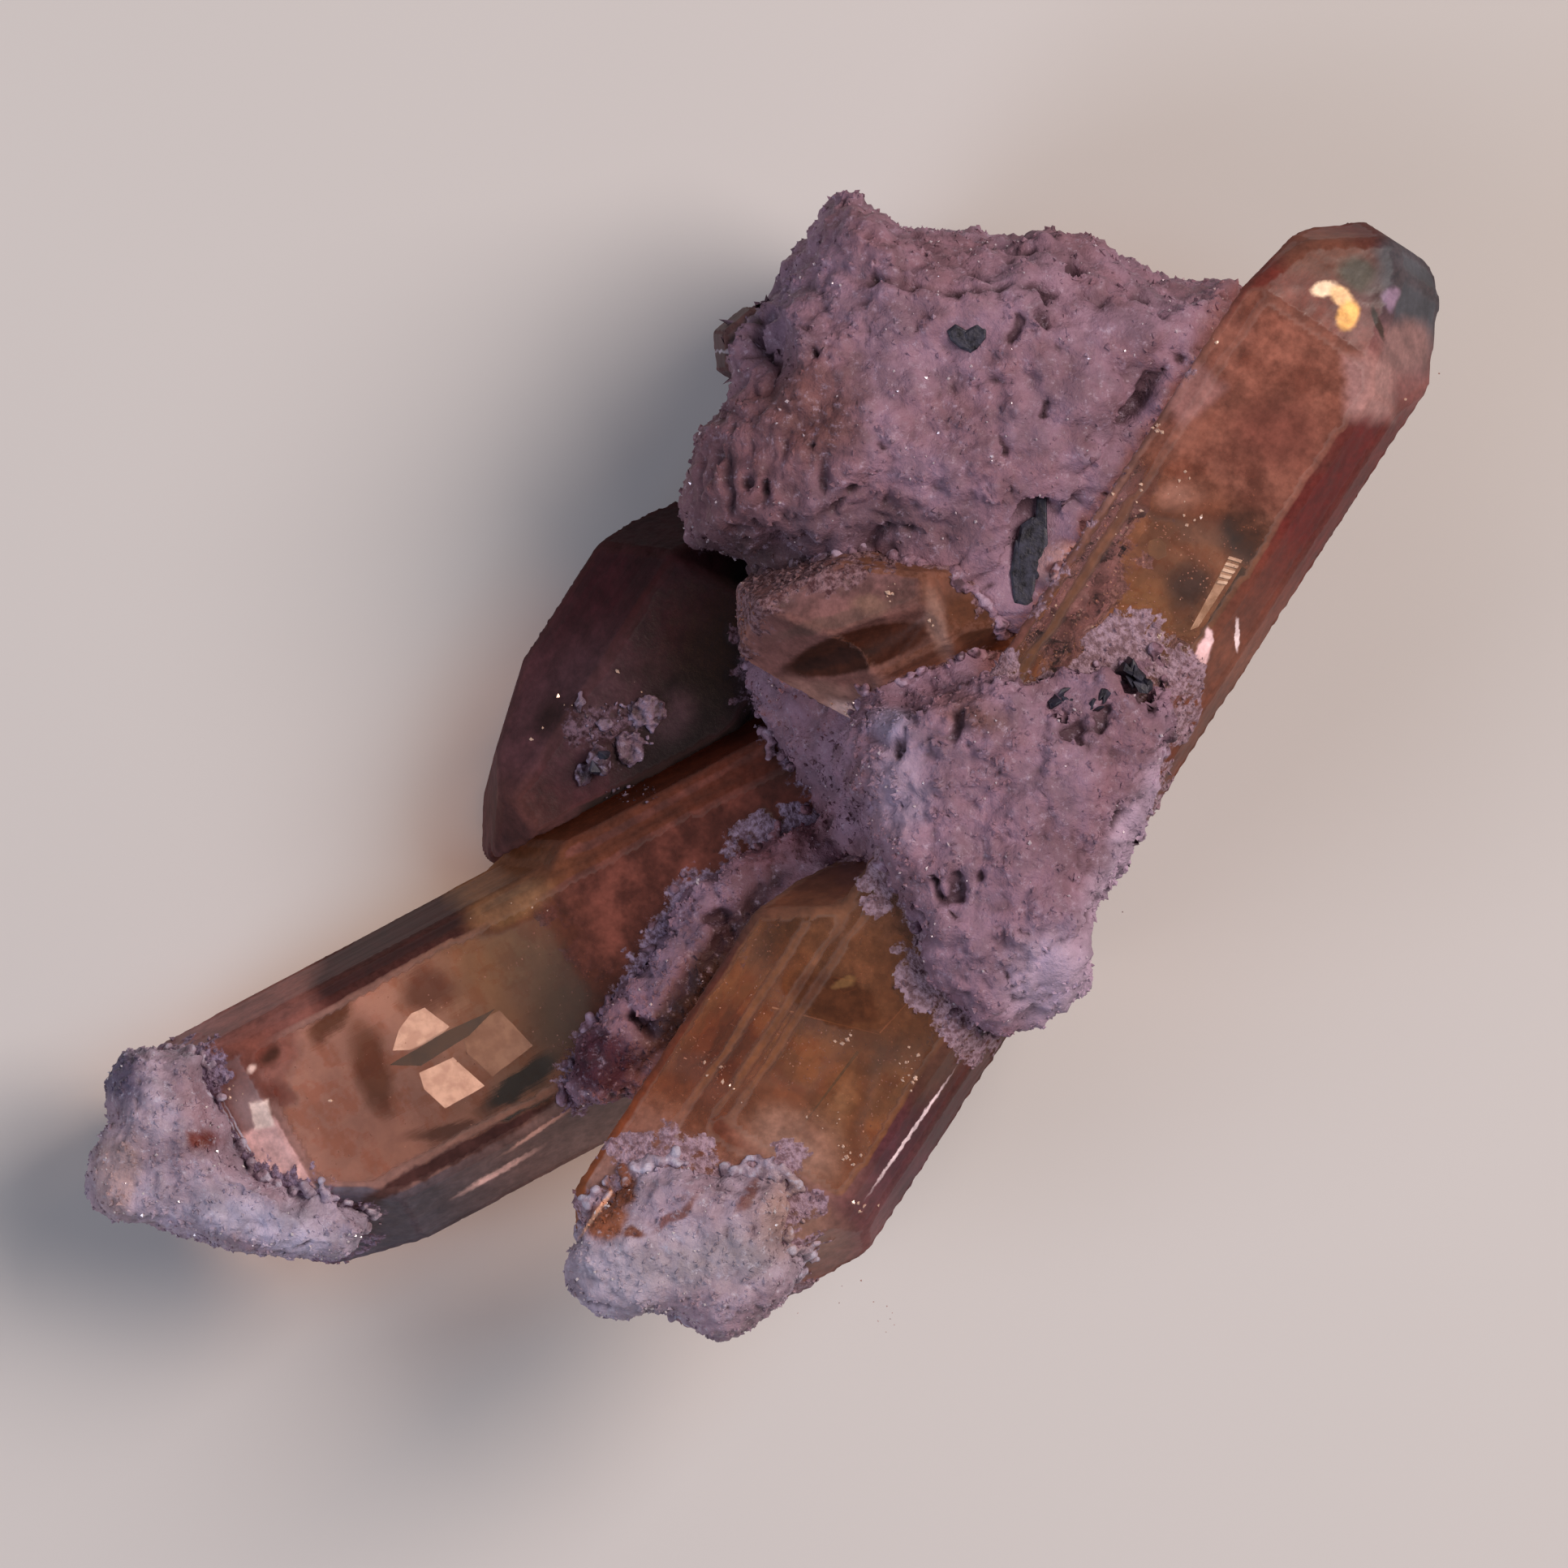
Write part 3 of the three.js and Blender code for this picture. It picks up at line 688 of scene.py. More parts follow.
def granular(name, spots, fine, seed):
    """A crust of rounded grains grown together. Each spot is a place, the way out and a size."""
    rng = np.random.default_rng(seed)
    ball = bmesh.new()
    bmesh.ops.create_icosphere(ball, subdivisions=2, radius=1)
    corners, sides = taken(ball)
    corners = np.array([tuple(corner) for corner in corners])
    pieces = []
    for place, out, size in spots:
        turn = tumbled(rng)
        shape = (corners * rng.uniform(0.7, 1.2, 3) * size) @ turn.T
        pieces.append((shape + place + np.array(out) * size * 0.2, sides))
    made = remeshed(mesh_of(name, *joined(pieces)), fine)
    points, normals = points_of(made.data), normals_of(made.data)
    rough = waves(points, 0.3, 3, seed / 9)
    points += normals * rough[:, None] * 0.05
    points[:, 2] = np.maximum(points[:, 2], 0.0)
    move_points(made.data, points)
    keep_values(made.data, "relief", rough * 2.0 - 0.1)
    return smooth(made)


# ---------------------------------------------------------------- crystals
def crystal_body(node, name, axes, fine, striped=0.005, stepped=0.012, chipped=0.1, seed=0.0, carved=None):
    """The crystal with worn edges, striated prism faces, and shallow steps and chips. `carved`
    gives how deep its upper faces are dug at points in the crystal's own frame."""
    made = remeshed(copy_of(node, name), fine)
    mesh = made.data
    tree = tree_of(node)
    points, normals = points_of(mesh), normals_of(mesh)
    flat = np.zeros(len(points))
    faced = np.zeros((len(points), 3))
    for i, point in enumerate(points):
        near, outward, _, far = tree.find_nearest(Vector(point))
        faced[i] = outward
        agree = float(np.dot(normals[i], np.array(outward)))
        if agree > 0.985 and far < fine:
            points[i] = near
            normals[i] = outward
            flat[i] = 1
    own = axes.own(points)
    ribs = waves(own * np.array([1, 0.045, 1]), 0.33, 2, seed)
    terrace = waves(own * np.array([1, 0.35, 1]), 1.5, 2, seed + 3)
    terrace = step(np.abs((terrace * 3.0) % 1.0 - 0.5), 0.1, 0.22)
    bites = waves(points, 0.7, 3, seed + 8)
    move = ribs * striped + terrace * stepped
    move -= (1 - flat) * step(bites, -0.15, 0.5) * chipped
    if carved is not None:
        move -= carved(own) * step(normals[:, 2], 0.1, 0.6)
    move_points(mesh, points + normals * move[:, None])
    up = (faced @ axes.back)[:, 2]
    even = evened(mesh, up, 3)
    keep_values(mesh, "up", even)
    keep_values(mesh, "edge", np.maximum(1 - flat, step(np.abs(even - up), 0.004, 0.02)))
    made.vertex_groups.new(name="wear_and_sheen").add(np.flatnonzero(flat < 1).tolist(), 1.0, "REPLACE")
    rounding = made.modifiers.new("Rounding", "SMOOTH")
    rounding.vertex_group = "wear_and_sheen"
    rounding.factor, rounding.iterations = 0.5, 6
    applied(made)
    made.vertex_groups.clear()
    return smooth(made)


def slab(corners, normal, thick):
    """A thin flat plate under its corners, as points and faces."""
    n = len(corners)
    lower = [c - normal * thick for c in corners]
    faces = [tuple(range(n)), tuple(range(2 * n - 1, n - 1, -1))]
    return corners + lower, faces + [(i, n + i, n + (i + 1) % n, (i + 1) % n) for i in range(n)]


def plates(name, axes, outlines, thick=0.03):
    """Thin plates just inside a crystal. Each outline is its (u, v) corners seen from above, and
    how deep it lies under the face."""
    down = axes.matrix.to_3x3() @ Vector((0, 0, -1))
    pieces = []
    for corners, depth in outlines:
        hits = [SKIN.ray_cast(axes.world((u, v, ABOVE)), down) for u, v in corners]
        normal = sum((hit[1] for hit in hits), Vector()).normalized()
        pieces.append(slab([hit[0] - hit[1] * depth for hit in hits], normal, thick))
    return mesh_of(name, *joined(pieces))


def sliver(a, b, wide):
    """The corners of a thin line from a to b that narrows towards b."""
    a, b = Vector(a), Vector(b)
    along = (b - a).normalized()
    side = Vector((-along.y, along.x)) * wide / 2
    return [tuple(corner) for corner in (a + side, a - side, b - side * 0.3, b + side * 0.3)]


def dust(name, node, count, size, seed, density):
    """Specks inside a crystal, joined in one mesh. `density` is 0 to 1 at a point."""
    rng = np.random.default_rng(seed)
    low, high = (np.array(corner) * TO_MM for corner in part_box(node))
    tree = tree_of(node)
    spots = []
    while len(spots) < count:
        tries = rng.uniform(low, high, (4000, 3))
        odds = density(tries)
        for point, odd, roll in zip(tries, odds, rng.uniform(0, 1, 4000)):
            if roll > odd or len(spots) >= count:
                continue
            near, outward, _, far = tree.find_nearest(Vector(point))
            if far > size * 1.5 and (Vector(point) - near).dot(outward) < 0:
                spots.append(point)
    corners = np.array([(1, 1, 1), (1, -1, -1), (-1, 1, -1), (-1, -1, 1)], float) * 0.6
    sides = [(0, 1, 2), (0, 3, 1), (0, 2, 3), (1, 3, 2)]
    pieces = []
    for spot in spots:
        turn = tumbled(rng)
        pieces.append(((corners * size * rng.uniform(0.35, 1.0, 3)) @ turn.T + spot, sides))
    return mesh_of(name, *joined(pieces))


def dressed(made, material, slot, *nodes):
    made.data.materials.clear()
    made.data.materials.append(material)
    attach(made, "root")
    if nodes:
        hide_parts(*nodes)
    return made


# ---------------------------------------------------------------- camera, light and floor
def make_camera():
    data = bpy.data.cameras.new("camera")
    data.sensor_width = SENSOR
    data.lens = SENSOR * CAMERA_HEIGHT / FRAME_WIDTH
    data.clip_start, data.clip_end = 0.01, 10.0
    camera = object_of("camera", data)
    x, y, z = SPECIMEN_MIDDLE
    camera.location = (x * MM, y * MM, (z + CAMERA_HEIGHT) * MM)
    bpy.context.scene.camera = camera


def make_light(name, heading, rise, far, wide, power, colour):
    data = bpy.data.lights.new(name, "AREA")
    data.shape = "RECTANGLE"
    data.size, data.size_y = (side * MM for side in wide)
    data.energy, data.color = power, colour
    light = object_of(name, data)
    heading, rise = math.radians(heading), math.radians(rise)
    away = Vector(
        (math.cos(heading) * math.cos(rise), math.sin(heading) * math.cos(rise), math.sin(rise))
    )
    middle = Vector(SPECIMEN_MIDDLE) * MM
    light.location = middle + away * far * MM
    light.rotation_euler = (-away).to_track_quat("-Z", "Y").to_euler()


def make_stage():
    half = 600.0
    floor = mesh_of(
        "floor",
        [(-half, -half, 0), (half, -half, 0), (half, half, 0), (-half, half, 0)],
        [(0, 1, 2, 3)],
    )
    g = Graph("floor_paper")
    tone = g.noise(40.0, 2, 0.5)
    floor.data.materials.append(
        g.finish(
            g.principled(
                Base_Color=g.mix(tone, linear(198, 196, 196), linear(206, 204, 203)),
                Roughness=0.85,
            )
        )
    )
    world = bpy.data.worlds.new("studio")
    world.use_nodes = True
    shade = world.node_tree.nodes["Background"]
    shade.inputs["Color"].default_value = (*linear(235, 232, 238), 1)
    shade.inputs["Strength"].default_value = 0.16
    bpy.context.scene.world = world
    make_light("key", 25, 50, 420, (260, 260), 1.9, linear(255, 238, 228))
    make_light("fill", 208, 35, 420, (220, 260), 0.7, linear(232, 238, 255))
    bpy.context.scene.view_settings.view_transform = "Standard"


# ---------------------------------------------------------------- the specimen
LAVENDER = seen(126, 91, 101)
PALE = seen(172, 142, 154)
# The next colour marks dark specks and is a painted shade in the rock's pits and cracks
SPECK_AND_PIT_SHADE = seen(56, 30, 36)
PINKISH = seen(116, 78, 84)
CRUST = seen(148, 124, 132)
ICY = seen(182, 168, 176)

SKIN = tree_of(*CRYSTAL_NODES)
GRAIN_NODES = sorted(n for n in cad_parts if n.startswith(("dark_grain", "pseudobrookite")))
GRAIN_BURIED = 0.55  # share of a grain's height that lies in the rock
PATCH_GRAIN = "dark_grain_5"  # it lies in the crust on the back crystal, and the others in the rock

# Width and height of each kind of relief. A pit's last number says how rare pits are
ROCK_FORM = {"swell": (2.4, 0.24), "knob": (1.05, 0.46), "grain": (0.4, 0.2), "pit": (0.9, 0.34, 0.5)}
CRUST_FORM = {"swell": (1.6, 0.18), "knob": (0.6, 0.18), "grain": (0.3, 0.12), "pit": (0.6, 0.15, 0.6)}

# Cracks in the rock: line in plan, width and depth
ROCK_CRACKS = [
    ([(3.4, 15.0), (5.0, 14.6), (6.1, 14.5), (7.6, 14.7)], 0.2, 0.35),
    ([(13.3, 12.7), (12.2, 12.0), (11.1, 10.5)], 0.28, 0.5),
    ([(3.2, 6.8), (3.8, 7.2), (4.6, 7.2)], 0.18, 0.4),
    ([(6.6, 11.6), (7.1, 11.8), (7.7, 11.7)], 0.12, 0.25),
    ([(9.1, 7.9), (9.5, 8.0), (9.9, 8.4)], 0.14, 0.18),
    ([(8.2, 16.0), (7.6, 15.6)], 0.2, 0.4),
    ([(-3.4, -8.2), (-2.2, -6.5), (-0.9, -4.9), (0.4, -3.6)], 0.3, 0.3),
    ([(-1.7, -4.7), (-1.2, -4.6)], 0.22, 0.5),
]
# Smooth lumps and hollows of the rock: middle in plan, reach and height
ROCK_LUMPS = [
    ((10.2, 11.3), 0.95, 0.25), ((11.2, 13.4), 1.1, 0.15), ((5.0, 6.1), 1.0, 0.3),
    ((9.1, 6.15), 0.7, 0.3), ((9.4, -6.4), 0.9, 0.2), ((3.9, 1.3), 0.6, 0.2),
    ((6.3, 13.1), 1.1, -0.05), ((8.3, 7.0), 1.2, -0.05), ((8.0, 5.3), 0.8, -0.05),
    ((-0.5, 12.75), 1.6, -1.2), ((1.0, 1.5), 0.8, -0.35),
]


def level_of(node):
    """How high the rock comes up around a grain."""
    low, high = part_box(node)
    return (low[2] + (high[2] - low[2]) * GRAIN_BURIED) * TO_MM


def make_rock():
    bedded = [node for node in GRAIN_NODES if node != PATCH_GRAIN]
    rock = plugged(copy_of("rhyolite_matrix", "rock_solid"), "rock", bedded)
    rock = remeshed(rock, FINE["rock"])
    drips = ((0.2, 8.6), (2.6, 1.5), 0.22)
    rock = roughened(rock, ROCK_FORM, 2.0, ROCK_CRACKS, ROCK_LUMPS, drips)
    rock = thinned(rock, ROCK_TRIANGLES)
    patches = [
        patch((1.4, 10.9), (1.7, 1.7), (98, 56, 50), soft=0.6, share=0.85),
        # Painted shade: these two darken the upper rock's lower left corner, where its surface turns away
        # from the lamps, and the first also makes it redder
        patch((-1.0, 8.4), (1.9, 2.6), (96, 58, 60), soft=0.6, share=0.9),
        patch((-0.4, 6.2), (2.6, 0.8), (64, 38, 40), soft=0.6),
        patch((6.1, 14.2), (0.9, 0.5), (128, 90, 98)),
        patch((0.2, 13.9), (1.2, 1.8), (98, 72, 84), soft=0.6, share=0.7),
        patch((6.5, 1.5), (0.9, 0.45), (104, 60, 46), turn=-20, soft=0.9, share=0.7),
        patch((4.3, -0.6), (0.9, 1.6), (150, 126, 140), soft=0.6, share=0.6),
        # Painted light: these two make the lower lobe paler on its right side, as if lit from the right
        patch((9.0, -6.6), (1.5, 1.5), (164, 134, 146), soft=0.5, share=0.9),
        patch((11.4, -2.6), (0.8, 3.2), (160, 130, 142), turn=-25, soft=0.5, share=0.8),
        patch((9.1, 6.15), (0.75, 0.7), (150, 106, 102), soft=0.3),
        patch((9.15, 6.1), (0.35, 0.2), (104, 60, 56), soft=0.4),
        patch((3.9, 1.3), (0.6, 0.5), (140, 120, 136), soft=0.6, share=0.8),
        patch((3.2, 7.3), (3.0, 0.9), (84, 54, 58), soft=0.6, share=0.7),
        patch((-4.9, -9.2), (1.1, 1.0), (64, 24, 34), soft=0.4),
        # Painted shadow: these two darken the strip between the band and the long crystal, under its
        # overhanging edge
        patch((-1.6, -6.6), (3.4, 0.75), (56, 32, 32), turn=54, soft=0.45),
        patch((-2.2, -7.7), (1.3, 0.7), (46, 20, 18), turn=54, soft=0.4),
        patch((-3.0, -6.0), (1.2, 0.6), (114, 86, 98), turn=54, soft=0.5, share=0.8),
        patch((0.6, -2.2), (1.6, 0.9), (122, 74, 78), turn=30, soft=0.5, share=0.9),
    ]
    stone = rhyolite("rhyolite", LAVENDER, SPECK_AND_PIT_SHADE, PALE, PINKISH, patches=patches)
    dressed(rock, stone, "rhyolite", "rhyolite_matrix")

    def sugary(points):
        """More sugar on the lower lobe and on the band beside the left crystal."""
        lower = step(points[:, 1], 4.0, 2.0)
        rim = step(points[:, 0] - 0.25 * points[:, 1], 6.5, 4.0) * lower
        return 0.35 + 0.5 * lower + 0.9 * rim

    sugar = sprinkled("rock_sugar", rock, 9500, 0.12, 11, sugary, sunk=0.6)
    dressed(sugar, stone, "rhyolite")
    glitter = sprinkled("rock_glitter", rock, 900, 0.06, 12)
    dressed(glitter, grain_glass("glitter", linear(230, 214, 226)), "rhyolite")
    return rock, stone


def make_crusts():
    patches = [
        patch((-19.9, -12.6), (0.75, 1.3), (156, 122, 118), soft=0.4),
        patch((-17.3, -11.6), (0.5, 0.4), (96, 34, 26), soft=0.5),
        patch((-19.7, -9.6), (0.8, 0.8), (84, 68, 82), soft=0.5),
        patch((-17.6, -10.3), (1.2, 0.5), (132, 96, 100), turn=-60, soft=0.5, share=0.7),
        # Painted light: these two make the lower sides of the two crust tips paler, as if lit from the
        # lower left
        patch((-15.2, -14.2), (2.6, 0.6), (160, 144, 156), turn=-14, soft=0.5, share=0.7),
        patch((-4.6, -15.6), (1.5, 1.0), (156, 136, 142), turn=-20, soft=0.7, share=0.8),
        patch((-1.5, -15.2), (2.1, 0.9), (132, 116, 116), turn=12, soft=0.8, share=0.6),
        patch((-2.5, -13.8), (0.8, 0.16), (108, 66, 62), turn=40, soft=0.5),
        patch((-0.4, -13.2), (0.6, 0.15), (104, 62, 58), turn=65, soft=0.5),
        patch((0.9, -13.8), (1.0, 1.2), (142, 106, 96), soft=0.6, share=0.9),
        patch((-4.35, -12.9), (0.4, 0.8), (112, 58, 38), turn=-10, soft=0.3),
        patch((-4.75, -14.0), (0.55, 0.6), (124, 66, 42), turn=-35, soft=0.3),
        patch((-3.9, -14.5), (0.4, 0.2), (104, 56, 42), soft=0.4),
        # Painted highlight: a thin bright streak across the orange window
        patch((-5.0, -13.7), (0.07, 0.9), (216, 150, 116), turn=-35, soft=0.4, crisp=True),
    ]
    # The colour after CRUST marks dark specks and paints shade into the crust's low spots and pits
    pale = rhyolite("crust", CRUST, seen(96, 72, 78), ICY, seen(132, 102, 108), 0.6, patches)
    glass = grain_glass("crust_grains", linear(246, 236, 240))
    made = {}
    for node, seed in (("crust_left_tip", 31), ("crust_lower_tip", 47)):
        crust = remeshed(copy_of(node, node + "_sugar"), FINE["crust"])
        crust = roughened(crust, CRUST_FORM, seed / 7)
        dressed(crust, pale, "pale_crust", node)
        sugar = sprinkled(node + "_grains", crust, 1500, 0.11, seed, sunk=0.5)
        dressed(sugar, pale, "pale_crust")
        glitter = sprinkled(node + "_glitter", crust, 180, 0.06, seed + 1)
        dressed(glitter, glass, "pale_crust")
        made[node] = crust
    return made, pale


# Flakes of the crust on the back crystal: middle, half size, grains, grain size and height
FLAKES = [
    ((-4.05, 0.5), (0.4, 0.55), 120, 0.085, 0.16),
    ((-3.5, 1.65), (0.52, 0.52), 170, 0.075, 0.14),
    ((-5.6, 1.9), (0.12, 0.34), 34, 0.07, 0.1),
    ((-4.85, 1.25), (0.22, 0.18), 40, 0.07, 0.1),
    ((-5.5, -0.3), (0.25, 0.35), 50, 0.08, 0.16),
    ((-4.3, 1.1), (1.1, 0.9), 150, 0.05, 0.04),
    ((-4.0, -0.9), (0.9, 0.3), 50, 0.05, 0.04),
    ((-5.0, 0.1), (0.26, 0.36), 80, 0.15, 0.8),
]


def make_back_patch():
    """Flakes of crust on the back crystal, one of them piled up around its grain."""
    rng = np.random.default_rng(53)
    spots = []
    for middle, half, count, size, tall in FLAKES:
        for _ in range(count):
            angle, out = rng.uniform(0, math.tau), math.sqrt(rng.uniform(0, 1))
            x = middle[0] + half[0] * out * math.cos(angle)
            y = middle[1] + half[1] * out * math.sin(angle)
            place, normal, _, _ = SKIN.ray_cast(Vector((x, y, 20)), Vector((0, 0, -1)))
            top = min(tall, level_of(PATCH_GRAIN) - place.z) * rng.uniform(0, 1)
            spots.append((np.array(place) + (0, 0, top), normal, size * rng.uniform(0.7, 1.2)))
    crust = granular("crust_back_patch_sugar", spots, 0.05, 53)
    tones = [
        patch((-5.0, 0.1), (0.5, 0.6), (70, 46, 52), soft=0.4),
        patch((-4.0, -0.9), (1.2, 0.4), (58, 34, 36), soft=0.4),
    ]
    # The colour after the body colour marks dark specks and paints shade into the flakes' low spots
    dusky = rhyolite(
        "dusky_crust", seen(112, 88, 100), seen(50, 30, 34), seen(146, 124, 142), seen(88, 62, 70),
        0.6, tones,
    )
    dressed(crust, dusky, "pale_crust", "crust_back_patch")


# Dark and light tones of the sugar on each crystal
SUGAR = {
    "long_crystal": (seen(106, 72, 74), seen(156, 120, 126)),
    "left_crystal": (seen(92, 64, 72), seen(146, 118, 132)),
    "short_crystal": (seen(72, 42, 42), seen(128, 92, 92)),
    "back_crystal": (seen(44, 24, 26), seen(100, 74, 82)),
}


def make_long_crystal():
    skin = [
        (-19, (150, 112, 102), 0.75), (-14.8, (140, 92, 74), 0.5), (-12.6, (130, 80, 50), 0.012),
        (2, (122, 80, 52), 0.012), (9.2, (130, 84, 62), 0.015), (11.3, (136, 84, 68), 0.6),
        (16.6, (138, 84, 68), 0.64), (17.8, (112, 70, 58), 0.12), (20.2, (70, 60, 60), 0.03),
    ]
    left = [
        (-19, (134, 80, 56), 0.8), (-14, (124, 70, 48), 0.8), (-9, (78, 42, 34), 0.85),
        (0, (96, 54, 40), 0.85), (9, (146, 104, 90), 0.8), (15, (138, 90, 76), 0.8),
        (17, (112, 60, 44), 0.85), (20.5, (92, 46, 32), 0.9),
    ]
    right = [
        (-19, (142, 96, 78), 0.75), (-14.5, (116, 78, 76), 0.85), (-12, (92, 62, 64), 0.88),
        (-9, (86, 48, 40), 0.88), (2, (108, 66, 54), 0.85), (7, (124, 80, 66), 0.85),
        (11, (104, 58, 48), 0.88), (15, (98, 54, 48), 0.88), (16.8, (134, 90, 84), 0.85),
        (18.2, (80, 72, 74), 0.85), (20.5, (72, 66, 70), 0.85),
    ]
    skin_patches = [
        patch((-2.6, 12.8), (0.62, 0.85), (152, 98, 88), 0.85, turn=-14, soft=0.3, boxy=True),
        patch((0.3, 13.2), (1.4, 1.1), (110, 60, 48), 0.75, turn=20, soft=0.6),
        patch((1.9, 15.9), (0.75, 0.95), (150, 104, 96), 0.85, turn=32, soft=0.35, boxy=True),
        patch((-1.3, 9.9), (0.8, 0.5), (150, 100, 82), 0.6, turn=30, soft=0.8),
        patch((-1.5, 18.6), (1.5, 0.75), (96, 48, 32), 0.85, turn=30, soft=0.4),
        patch((-0.3, 18.6), (0.6, 0.5), (68, 58, 46), 0.85, soft=0.4),
        patch((1.5, 19.1), (1.9, 0.75), (56, 54, 58), 0.85, turn=-31, soft=0.3),
        patch((2.2, 17.6), (0.8, 0.8), (120, 82, 76), 0.85, soft=0.4),
        patch((1.0, 18.55), (0.26, 0.36), (130, 102, 118), 0.9, turn=20),
        patch((-1.5, -7.0), (3.2, 2.0), (134, 82, 54), 0.4, soft=0.7),
        patch((-1.6, -8.7), (1.55, 0.72), (84, 44, 24), 0.7, turn=12, soft=0.2),
        patch((-1.66, -8.15), (0.34, 0.16), (132, 88, 52), 0.7, turn=35),
        patch((2.2, -8.8), (0.45, 1.1), (84, 46, 32), 0.5, soft=0.6),
        patch((0.25, -11.5), (0.6, 1.5), (158, 108, 74), 0.4, turn=12, soft=0.9),
        patch((-0.3, -13.1), (1.8, 1.1), (158, 112, 92), 0.6, soft=0.7),
        patch((1.2, -15.2), (1.5, 1.0), (140, 98, 82), 0.7, soft=0.6),
        glint((-0.9, 17.71), (0.4, 0.24), (236, 190, 152), 45, 0.3),
        glint((-0.35, 17.8), (0.4, 0.27), (236, 178, 124), -8, 0.3),
        glint((0.14, 17.42), (0.33, 0.46), (236, 164, 86), 14, 0.3),
        glint((1.05, 17.72), (0.56, 0.1), (40, 30, 26), -37, 0.35),
        glint((2.07, 6.2), (0.22, 0.8), (232, 178, 172), 12, 0.22),
        glint((1.95, 6.85), (0.12, 0.3), (236, 184, 178), 40, 0.3),
        glint((2.64, 7.35), (0.07, 0.5), (240, 196, 190), 33, 0.25),
        glint((2.58, -10.9), (0.05, 1.95), (236, 196, 192), -1.5, 0.4),
        glint((-4.1, -17.9), (0.09, 0.9), (226, 170, 140), 4, 0.5),
    ]
    deep = [
        (-19, (140, 80, 56), 0.92), (-13, (130, 74, 44), 0.92), (-8, (142, 88, 52), 0.92),
        (2, (126, 76, 50), 0.92), (7, (126, 80, 54), 0.92), (9.5, (124, 80, 58), 0.92),
        (12, (124, 72, 58), 0.94), (16.5, (128, 80, 66), 0.94), (18, (112, 74, 62), 0.92),
        (20.2, (84, 76, 76), 0.92),
    ]
    deep_patches = [
        patch((1.3, 10.2), (1.0, 0.95), (42, 28, 26), 0.95, soft=0.45),
        patch((0.6, 7.7), (0.7, 0.9), (72, 50, 42), 0.95, soft=0.6),
        patch((-0.6, 6.2), (1.5, 1.0), (130, 84, 52), 0.95, soft=0.6),
        patch((0.2, 11.6), (1.6, 0.7), (104, 58, 48), 0.95, soft=0.6),
        patch((1.9, 12.3), (0.3, 0.22), (84, 34, 30), 0.95),
        patch((-1.6, -8.7), (1.55, 0.72), (84, 46, 26), 0.95, turn=12, soft=0.18),
        patch((2.3, -8.5), (0.4, 0.9), (74, 42, 30), 0.95, soft=0.5),
        patch((-3.4, -12.4), (1.2, 1.8), (100, 52, 34), 0.95, soft=0.6),
        patch((-0.4, -13.4), (1.6, 0.35), (96, 48, 30), 0.95, soft=0.5),
        patch((-2.4, -6.8), (1.4, 1.1), (150, 94, 56), 0.95, soft=0.6),
    ]
    material = topaz(
        "sherry_topaz", LONG, 5.0, (skin, skin_patches), (deep, deep_patches), (left, right),
        sugar=SUGAR["long_crystal"],
    )
    body = crystal_body(
        "topaz_long_crystal", "long_crystal", LONG, FINE["long"], chipped=0.05, seed=1.0,
    )
    return dressed(body, material, "topaz", "topaz_long_crystal")


